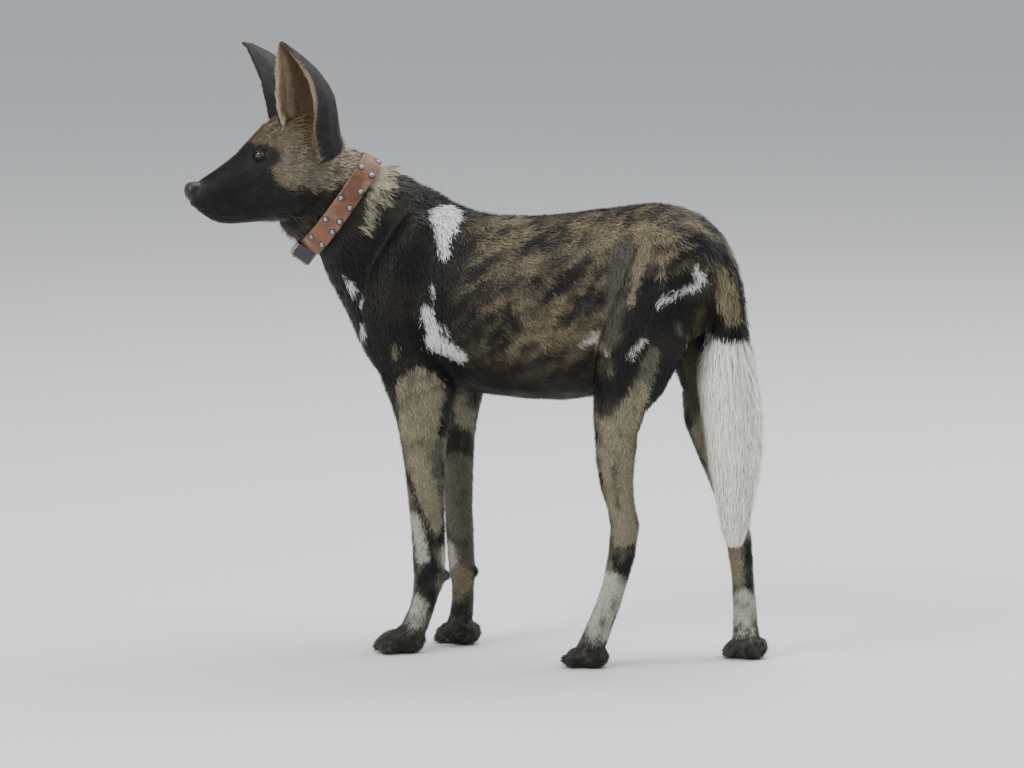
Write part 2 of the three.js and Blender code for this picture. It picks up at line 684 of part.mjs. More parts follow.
const neckBase = halfSpace(NECK_BASE_POINT, NECK_BASE_NORMAL, PART_GAP);
const coatedNeck = joined([neckPiece, napeLocks()]).intersect(neckBase);
const legSockets = joined(Object.values(LEGS).map((leg) => legLoft(leg, PART_GAP)));
addNode('torso', largestBody(torsoPiece.subtract(legSockets).subtract(tailSolid(PART_GAP))), COAT_BLACK);
addNode('neck', largestBody(coatedNeck.subtract(joined([skullSolid(PART_GAP), legSockets, ...earSockets]))),
  COAT_GREY);
const [, tailRoot] = parted(tailSolid(), TAIL_SPLIT, UP);
addNode('tail_root', tailRoot, COAT_BLACK);

// Brush of the tail: a slim core under tiers of overlapping locks that reach the outline
const BRUSH_TIERS = 5;
const BRUSH_AROUND = 7;
const BRUSH_LOWEST_ROOT = 268;
const BRUSH_TIP = 186;
const BRUSH_FALL = [112, 140];
const BRUSH_TWIST = 0.2;
// Heights of the core and how far it reaches towards the outline there.
const BRUSH_CORE = [[506, 0.92], [486, 0.66], [458, 0.5], [390, 0.5], [330, 0.5], [285, 0.45], [252, 0.22]];
const ROOT_ABOVE = 6;

function brushOutline(height) {
  const heights = TAIL_ROWS.map((row) => (row[1] + row[3]) / 2);
  let i = 0;
  while (i < heights.length - 2 && heights[i + 1] > height) i += 1;
  const share = THREE.MathUtils.clamp((heights[i] - height) / (heights[i] - heights[i + 1]), 0, 1);
  const row = TAIL_ROWS[i].map((value, c) => value + (TAIL_ROWS[i + 1][c] - value) * share);
  return { x: (row[0] + row[2]) / 2, deep: (row[0] - row[2]) / 2, half: row[5] };
}

function brushPoint(height, angle, share) {
  const { x, deep, half } = brushOutline(height);
  return new THREE.Vector3(x + deep * share * Math.cos(angle), half * share * Math.sin(angle), height);
}

function brushSolid() {
  const draw = seededDraw(7);
  const core = BRUSH_CORE.map(([height, share]) => {
    const { x, deep, half } = brushOutline(height);
    return [x + deep * share, height, x - deep * share, height, 0, half * share];
  });
  const pieces = [toSolid(outlineLoft(core, 12, 9))];
  for (let tier = 0; tier < BRUSH_TIERS; tier += 1) {
    const down = tier / (BRUSH_TIERS - 1);
    const rootHeight = THREE.MathUtils.lerp(TAIL_SPLIT.z + ROOT_ABOVE, BRUSH_LOWEST_ROOT, down);
    const rootShare = tier === 0 ? 0.84 : 0.38;
    for (let n = 0; n < BRUSH_AROUND; n += 1) {
      const angle = (2 * Math.PI * (n + (tier % 2) / 2)) / BRUSH_AROUND + draw(-0.1, 0.1);
      const twist = draw(-BRUSH_TWIST, BRUSH_TWIST);
      const fall = draw(...BRUSH_FALL);
      const tipHeight = Math.max(rootHeight - fall, BRUSH_TIP + draw(0, 24));
      const root = brushPoint(rootHeight, angle, rootShare);
      const middle = brushPoint(rootHeight - 0.4 * fall, angle + twist, 1.06);
      const tip = brushPoint(tipHeight, angle - twist, 0.98);
      const outward = new THREE.Vector3(Math.cos(angle), Math.sin(angle), 0);
      pieces.push(lockSolid(root, middle, tip, outward, LOCK_WIDTH * draw(0.9, 1.1), LOCK_THICKNESS));
    }
  }
  return joined(pieces).subtract(halfSpace(TAIL_SPLIT, UP));
}

addNode('tail_brush', largestBody(brushSolid()), COAT_WHITE);

// Collar: a band round the neck, and the metal unit under the throat
function collarBand() {
  const shell = bodySolid(PART_GAP + COLLAR_THICKNESS).subtract(bodySolid(PART_GAP));
  return shell.intersect(halfSpace(COLLAR_BACK, COLLAR_AXIS))
    .subtract(halfSpace(COLLAR_BACK, COLLAR_AXIS, COLLAR_WIDTH));
}

function unitGeometry(grow = 0) {
  const geometry = new THREE.BoxGeometry(...UNIT_SIZE.map((side) => side + 2 * grow));
  const across = new THREE.Vector3().crossVectors(COLLAR_DOWN, COLLAR_AXIS).normalize();
  const down = new THREE.Vector3().crossVectors(COLLAR_AXIS, across).normalize();
  geometry.applyMatrix4(new THREE.Matrix4().makeBasis(COLLAR_AXIS, across, down));
  geometry.translate(...COLLAR_CENTRE.clone().addScaledVector(COLLAR_DOWN, UNIT_DROP).toArray());
  return geometry;
}

const collar = collarBand().subtract(skullSolid(PART_GAP));
addNode('collar', largestBody(collar), LEATHER);
const unit = toSolid(unitGeometry()).subtract(bodySolid(COLLAR_THICKNESS + 2 * PART_GAP));
addNode('collar_unit', largestBody(unit), UNIT_METAL);

export default dog;
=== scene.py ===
# %% [markdown]
# # An African wild dog, life size
# The solids give the dog's true shape in flat facets. Here that shape becomes a living surface: one
# smooth skin, a coat of fine tufts that lies the way real hair does, moist eyes and nose, and the worn
# leather collar. Everything is measured in metres, with the ground at height zero.

# %% Load the solids
import math
from itertools import product

import bmesh
import bpy
import numpy as np
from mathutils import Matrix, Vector
from mathutils.bvhtree import BVHTree


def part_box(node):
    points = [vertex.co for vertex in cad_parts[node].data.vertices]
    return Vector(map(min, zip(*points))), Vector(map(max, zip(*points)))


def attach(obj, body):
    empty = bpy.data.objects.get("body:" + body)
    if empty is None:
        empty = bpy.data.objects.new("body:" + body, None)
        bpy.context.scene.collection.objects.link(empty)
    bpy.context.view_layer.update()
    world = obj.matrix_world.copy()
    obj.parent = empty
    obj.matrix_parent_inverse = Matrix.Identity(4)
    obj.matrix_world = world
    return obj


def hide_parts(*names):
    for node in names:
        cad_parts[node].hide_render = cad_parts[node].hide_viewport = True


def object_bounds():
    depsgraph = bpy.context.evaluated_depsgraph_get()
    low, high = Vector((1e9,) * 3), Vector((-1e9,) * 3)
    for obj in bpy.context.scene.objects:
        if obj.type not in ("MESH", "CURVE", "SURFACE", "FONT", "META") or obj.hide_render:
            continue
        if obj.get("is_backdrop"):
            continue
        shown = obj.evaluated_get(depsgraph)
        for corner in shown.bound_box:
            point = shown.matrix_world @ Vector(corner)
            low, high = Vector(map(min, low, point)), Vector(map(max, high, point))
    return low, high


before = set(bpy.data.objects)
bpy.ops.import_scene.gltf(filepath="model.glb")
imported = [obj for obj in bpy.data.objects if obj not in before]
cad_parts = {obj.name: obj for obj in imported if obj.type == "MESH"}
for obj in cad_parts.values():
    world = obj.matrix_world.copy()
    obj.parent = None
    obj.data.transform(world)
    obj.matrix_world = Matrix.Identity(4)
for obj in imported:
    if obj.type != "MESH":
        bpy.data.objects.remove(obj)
cad_low, cad_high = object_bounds()
MM = 0.001
LEGS = ("front_left", "front_right", "hind_left", "hind_right")
BODY_NODES = ["head", "neck", "torso", "tail_root"]
BODY_NODES += [f"{leg}_{part}" for leg in LEGS for part in ("upper", "lower", "foot")]
HEAD_NODES = ["head", "ear_left", "ear_right", "neck"]
print("solids from", tuple(round(v, 3) for v in cad_low), "to", tuple(round(v, 3) for v in cad_high))

# %% [markdown]
# The head is turned to the dog's left, so its own directions differ from the body's. Two small functions
# carry points between the room and the head. In the head's own frame x runs forward, y to the left and
# z up, in millimetres from a point between the ears' roots.

# %% Frames of the head and the collar
HEAD_ORIGIN = np.array([-0.277, -0.028, 0.744])
HEAD_TURN = math.radians(217)
HEAD_AXES = np.array([
    [math.cos(HEAD_TURN), math.sin(HEAD_TURN), 0],
    [-math.sin(HEAD_TURN), math.cos(HEAD_TURN), 0],
    [0, 0, 1],
])
COLLAR_CENTRE = np.array([-0.237, -0.003, 0.688])
COLLAR_WIDTH = 0.033


def unit(vectors):
    """The same directions, each one metre long."""
    vectors = np.asarray(vectors, float)
    return vectors / np.maximum(np.linalg.norm(vectors, axis=-1, keepdims=True), 1e-12)


COLLAR_AXIS = unit([-0.719, -0.366, 0.568])
COLLAR_DOWN = np.array([-0.563, -0.124, -0.817])
COLLAR_DOWN = unit(COLLAR_DOWN - COLLAR_AXIS * (COLLAR_DOWN @ COLLAR_AXIS))
COLLAR_SIDE = np.cross(COLLAR_AXIS, COLLAR_DOWN)


def in_head(points):
    """Points of the room in the head's own millimetres."""
    return (points - HEAD_ORIGIN) @ HEAD_AXES.T / MM


def from_head(points):
    """Points in the head's millimetres, back in the room."""
    return np.asarray(points, float) * MM @ HEAD_AXES + HEAD_ORIGIN


print("nose tip in the room:", from_head([196, 0, -40]).round(3))

# %% [markdown]
# Coats are never even. A lattice of repeatable random numbers, blended smoothly between its corners,
# gives soft clouds of change at any size. The same function roughens the edges of the white patches,
# mottles the flank and varies the hair.

# %% Clouds and steps
LATTICE_PRIMES = (73856093, 19349663, 83492791)
LATTICE_MIX = 1274126177
LATTICE_STEPS = 0xFFFF


def lattice(corners, seed):
    """A fixed number from 0 to 1 for each whole-numbered corner."""
    mixed = sum(corners[:, k] * prime for k, prime in enumerate(LATTICE_PRIMES)) + seed * 7919
    mixed = (mixed ^ (mixed >> 13)) * LATTICE_MIX
    return ((mixed ^ (mixed >> 16)) & LATTICE_STEPS) / LATTICE_STEPS


def clouds(points, cell, seed):
    """Soft noise from 0 to 1, with one change about every cell (a size, or one for each axis)."""
    spot = points / np.asarray(cell)
    low = np.floor(spot).astype(np.int64)
    ease = spot - low
    ease = ease * ease * (3 - 2 * ease)
    total = np.zeros(len(points))
    for corner in product((0, 1), repeat=3):
        share = np.prod(np.where(np.array(corner) == 1, ease, 1 - ease), axis=1)
        total += share * lattice(low + np.array(corner), seed)
    return total


def ramp(values, start, end):
    """0 before start, 1 after end, and a smooth rise between them."""
    share = np.clip((values - start) / (end - start), 0, 1)
    return share * share * (3 - 2 * share)


print("clouds at the origin:", clouds(np.zeros((1, 3)), 0.01, 1).round(3))

# %% [markdown]
# The skin starts as copies of the flesh solids. Each is swollen by half a millimetre, so that the thin
# gaps between neighbours close, and a voxel remesh then wraps them all in one even net of small squares.
# Smoothing that pulls and pushes in turn takes away the facets without thinning the legs.

# %% One skin from many solids
SWELL = 0.0006
PULL = 0.5
PUSH = -0.52


def read_mesh(mesh):
    """Points and faces of a mesh whose faces all have the same number of corners."""
    points = np.empty(len(mesh.vertices) * 3)
    mesh.vertices.foreach_get("co", points)
    corners = np.empty(len(mesh.loops), np.int64)
    mesh.loops.foreach_get("vertex_index", corners)
    return points.reshape(-1, 3), corners.reshape(len(mesh.polygons), -1)


def new_piece(name, points, faces):
    """A smooth-shaded mesh object from points and faces."""
    mesh = bpy.data.meshes.new(name)
    side = faces.shape[1]
    mesh.vertices.add(len(points))
    mesh.vertices.foreach_set("co", np.asarray(points, np.float32).ravel())
    mesh.loops.add(faces.size)
    mesh.loops.foreach_set("vertex_index", faces.ravel().astype(np.int32))
    mesh.polygons.add(len(faces))
    mesh.polygons.foreach_set("loop_start", np.arange(len(faces), dtype=np.int32) * side)
    mesh.update(calc_edges=True)
    mesh.shade_smooth()
    piece = bpy.data.objects.new(name, mesh)
    bpy.context.scene.collection.objects.link(piece)
    return piece


def wrapped(names, voxel, extra=()):
    """Points and squares of one skin round the named solids and any extra meshes."""
    build = bmesh.new()
    for mesh in [bpy.data.objects[name].data for name in names] + list(extra):
        part = bmesh.new()
        part.from_mesh(mesh)
        bmesh.ops.remove_doubles(part, verts=part.verts, dist=1e-6)
        part.normal_update()
        for corner in part.verts:
            corner.co += corner.normal * SWELL
        swollen = bpy.data.meshes.new("swollen")
        part.to_mesh(swollen)
        part.free()
        build.from_mesh(swollen)
        bpy.data.meshes.remove(swollen)
    mesh = bpy.data.meshes.new("flesh")
    build.to_mesh(mesh)
    build.free()
    piece = bpy.data.objects.new("flesh", mesh)
    bpy.context.scene.collection.objects.link(piece)
    net = piece.modifiers.new("net", "REMESH")
    net.mode = "VOXEL"
    net.voxel_size = voxel
    done = piece.evaluated_get(bpy.context.evaluated_depsgraph_get())
    points, squares = read_mesh(done.to_mesh())
    done.to_mesh_clear()
    bpy.data.objects.remove(piece)
    bpy.data.meshes.remove(mesh)
    return points, squares


def eased(points, squares, rounds, push=PUSH):
    """Points smoothed for their own number of rounds each. The push keeps them from shrinking."""
    starts = squares.ravel()
    ends = np.roll(squares, -1, axis=1).ravel()
    links = np.bincount(starts, minlength=len(points)) + np.bincount(ends, minlength=len(points))
    points = points.copy()
    for turn in range(int(rounds.max())):
        moving = (rounds > turn)[:, None]
        for share in (PULL, push):
            total = [
                np.bincount(starts, points[ends, k], len(points))
                + np.bincount(ends, points[starts, k], len(points))
                for k in range(3)
            ]
            mean = np.stack(total, axis=1) / np.maximum(links, 1)[:, None]
            points = points + moving * share * (mean - points)
    return points


def outward(points, faces):
    """The direction straight out of the surface at each point."""
    corners = points[faces]
    if faces.shape[1] == 4:
        face_normals = np.cross(corners[:, 2] - corners[:, 0], corners[:, 3] - corners[:, 1])
    else:
        face_normals = np.cross(corners[:, 1] - corners[:, 0], corners[:, 2] - corners[:, 0])
    total = [
        sum(np.bincount(faces[:, c], face_normals[:, k], len(points)) for c in range(faces.shape[1]))
        for k in range(3)
    ]
    return unit(np.stack(total, axis=1))


def kept_part(points, faces, keep):
    """Only the faces that are kept, with their own points numbered afresh."""
    chosen = faces[keep]
    used = np.unique(chosen)
    place = np.full(len(points), -1)
    place[used] = np.arange(len(used))
    return used, place[chosen]

# %% [markdown]
# The tail's long hair hangs round a thin core of flesh. The solid has its hair built in, so the core
# is drawn afresh as a slim spindle, a third of the brush's width, and it joins the body's skin.

# %% Core of the tail
BRUSH_ROWS = [
    (0.530, 0.378, 0.027, 0.026, 0.026),
    (0.497, 0.375, 0.027, 0.037, 0.034),
    (0.470, 0.373, 0.027, 0.044, 0.039),
    (0.430, 0.379, 0.027, 0.048, 0.041),
    (0.386, 0.386, 0.027, 0.049, 0.042),
    (0.350, 0.390, 0.027, 0.046, 0.040),
    (0.300, 0.390, 0.027, 0.039, 0.035),
    (0.250, 0.389, 0.027, 0.029, 0.026),
    (0.210, 0.388, 0.027, 0.018, 0.015),
    (0.184, 0.389, 0.027, 0.009, 0.006),
]
CORE_LOW = 0.225
CORE_HIGH = 0.515
CORE_SHARE = 0.30
CORE_RINGS = 30
CORE_SIDES = 20


def brush_at(heights):
    """Middle and reach of the brush at each height: x, y, half its depth and half its width."""
    rows = np.array(BRUSH_ROWS[::-1])
    return [np.interp(heights, rows[:, 0], rows[:, k]) for k in range(1, 5)]


def tail_core():
    """A closed spindle inside the brush, as a mesh."""
    heights = np.linspace(CORE_HIGH, CORE_LOW, CORE_RINGS)
    x, y, deep, wide = brush_at(heights)
    fade = np.sqrt(np.clip((heights - CORE_LOW) / 0.03, 0.02, 1)) * CORE_SHARE
    angles = np.arange(CORE_SIDES) * 2 * math.pi / CORE_SIDES
    ring = np.stack([
        x[:, None] + (deep * fade)[:, None] * np.cos(angles),
        y[:, None] + (wide * fade)[:, None] * np.sin(angles),
        np.repeat(heights[:, None], CORE_SIDES, axis=1),
    ], axis=2).reshape(-1, 3)
    spindle = bmesh.new()
    corners = [spindle.verts.new(point) for point in ring]
    for k in range(CORE_RINGS - 1):
        for c in range(CORE_SIDES):
            near = k * CORE_SIDES + c
            far = k * CORE_SIDES + (c + 1) % CORE_SIDES
            spindle.faces.new([
                corners[near], corners[near + CORE_SIDES], corners[far + CORE_SIDES], corners[far],
            ])
    spindle.faces.new(corners[:CORE_SIDES])
    spindle.faces.new(corners[-CORE_SIDES:][::-1])
    mesh = bpy.data.meshes.new("tail core")
    spindle.normal_update()
    bmesh.ops.recalc_face_normals(spindle, faces=spindle.faces)
    spindle.to_mesh(mesh)
    spindle.free()
    return mesh


core_mesh = tail_core()
print("tail core", len(core_mesh.vertices), "points")

# %% [markdown]
# The body's skin lies under the coat by the depth of the hair: most on the neck and trunk, least on the
# feet. It stops under the middle of the collar, where the head's finer skin takes over out of sight.

# %% Skin of the body
BODY_VOXEL = 0.0036
COLLAR_LAP = 0.004
LEG_TOPS = ((0.291, 0.655), (-0.091, 0.650), (-0.110, 0.600))
LEG_TOP_REACH = 0.055
LEG_TOP_ROUNDS = 70
MUD_CLODS = 0.0028


def past_collar(points):
    """Distance ahead of the collar's middle plane, towards the head."""
    return (points - COLLAR_CENTRE) @ COLLAR_AXIS


points, squares = wrapped(BODY_NODES, BODY_VOXEL, [core_mesh])
leg_share = 1 - ramp(points[:, 2], 0.36, 0.46)
foot_share = 1 - ramp(points[:, 2], 0.045, 0.075)
rounds = 160 - 136 * leg_share - 20 * foot_share
body_outer = eased(points, squares, rounds)
top_gap = np.min([np.hypot(body_outer[:, 0] - x, body_outer[:, 2] - z) for x, z in LEG_TOPS], axis=0)
body_outer = eased(
    body_outer, squares,
    LEG_TOP_ROUNDS * (1 - ramp(top_gap, 0.4 * LEG_TOP_REACH, LEG_TOP_REACH)), 0,
)
clods = (clouds(body_outer, 0.007, 51) + clouds(body_outer, 0.0035, 52) - 1) * MUD_CLODS
clods *= (1 - ramp(body_outer[:, 2], 0.035, 0.055)) * ramp(body_outer[:, 2], 0.002, 0.008)
body_outer += outward(body_outer, squares) * clods[:, None]
keep = (past_collar(body_outer[squares].mean(axis=1)) < COLLAR_LAP)
used, body_faces = kept_part(body_outer, squares, keep)
body_outer = body_outer[used]
body_normals = outward(body_outer, body_faces)
body_depth = 0.0040 - 0.0022 * (1 - ramp(body_outer[:, 2], 0.36, 0.46))
body_depth -= 0.0008 * (1 - ramp(body_outer[:, 2], 0.05, 0.09))
in_brush = (body_outer[:, 2] < 0.50) & (body_outer[:, 0] > 0.355) & (abs(body_outer[:, 1] - 0.027) < 0.02)
body_depth[in_brush] = 0
body_points = body_outer - body_normals * body_depth[:, None]
body_points[:, 2] = np.maximum(body_points[:, 2], 0.0003)
body_skin = new_piece("skin_body", body_points, body_faces)
print("body skin", len(body_faces), "squares")

# %% [markdown]
# The head's skin has squares half the size, because lids, lips and nostrils are small. Those places are
# smoothed least, and the skin lies less than a millimetre under their short hair.

# %% Skin of the head
HEAD_VOXEL = 0.0017
EYE_CENTRE = np.array([84, 30, 19])
EYE_RADIUS = 11.5
EYE_LOOK = unit([0.45, 0.86, 0.24])
NOSE_CENTRE = np.array([178, 0, -37])


def nearest_gap(points, names):
    """Distance from each point to the nearest face of the named solids, at most one centimetre."""
    gaps = np.full(len(points), 0.01)
    for name in names:
        mesh = bpy.data.objects[name].data
        tree = BVHTree.FromPolygons([v.co[:] for v in mesh.vertices], [p.vertices[:] for p in mesh.polygons])
        low, high = (np.array(corner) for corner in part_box(name))
        near = np.all((points > low - 0.01) & (points < high + 0.01), axis=1)
        for index in np.flatnonzero(near):
            found = tree.find_nearest(Vector(points[index]), 0.01)
            if found[3] is not None:
                gaps[index] = min(gaps[index], found[3])
    return gaps


points, squares = wrapped(HEAD_NODES, HEAD_VOXEL)
keep = past_collar(points[squares].mean(axis=1)) > -COLLAR_LAP
used, head_faces = kept_part(points, squares, keep)
points = points[used]
local = in_head(points)
eye_gap = np.minimum(*(np.linalg.norm(local - EYE_CENTRE * [1, side, 1], axis=1) for side in (1, -1)))
fine = 1 - ramp(eye_gap, 17, 26)
fine = np.maximum(fine, ramp(local[:, 0], 150, 172))
mouth_height = -68 + 10 * ramp(local[:, 0], 106, 190)
fine = np.maximum(fine, ramp(local[:, 0], 100, 112) * (1 - ramp(abs(local[:, 2] - mouth_height), 7, 12)))
ear_gap = nearest_gap(points, ["ear_left", "ear_right"])
is_ear = ear_gap < 0.0012
rounds = np.where(is_ear, 7, 40 - 35 * fine)
head_outer = eased(points, head_faces, rounds)
head_normals = outward(head_outer, head_faces)
head_depth = 0.001 * (1 - fine) + 0.0002
head_depth += 0.002 * ramp(-past_collar(head_outer), -0.05, 0)
head_depth[is_ear] = 0.0003
head_points = head_outer - head_normals * head_depth[:, None]
head_skin = new_piece("skin_head", head_points, head_faces)
print("head skin", len(head_faces), "squares,", int(is_ear.sum()), "points on the ears")

# %% [markdown]
# The coat is a patchwork that no two of these dogs share. It is drawn here as a list of brush strokes on
# the body: each runs from one point to another, has a width at either end, and is laid over those before
# it. Strokes are a fair way to draw markings, because they follow the form and show from every side.
# The ends of those on the left were picked by eye in the photo, and a separate helper script carried
# them onto the solids and printed these rows. Those on the right are made up.

# %% Colours and strokes of the coat
def tone(red, green, blue):
    """A colour as a screen shows it (0 to 255), in the linear light that a shader needs."""
    share = np.array([red, green, blue]) / 255
    return np.where(share < 0.04045, share / 12.92, ((share + 0.055) / 1.055) ** 2.4)


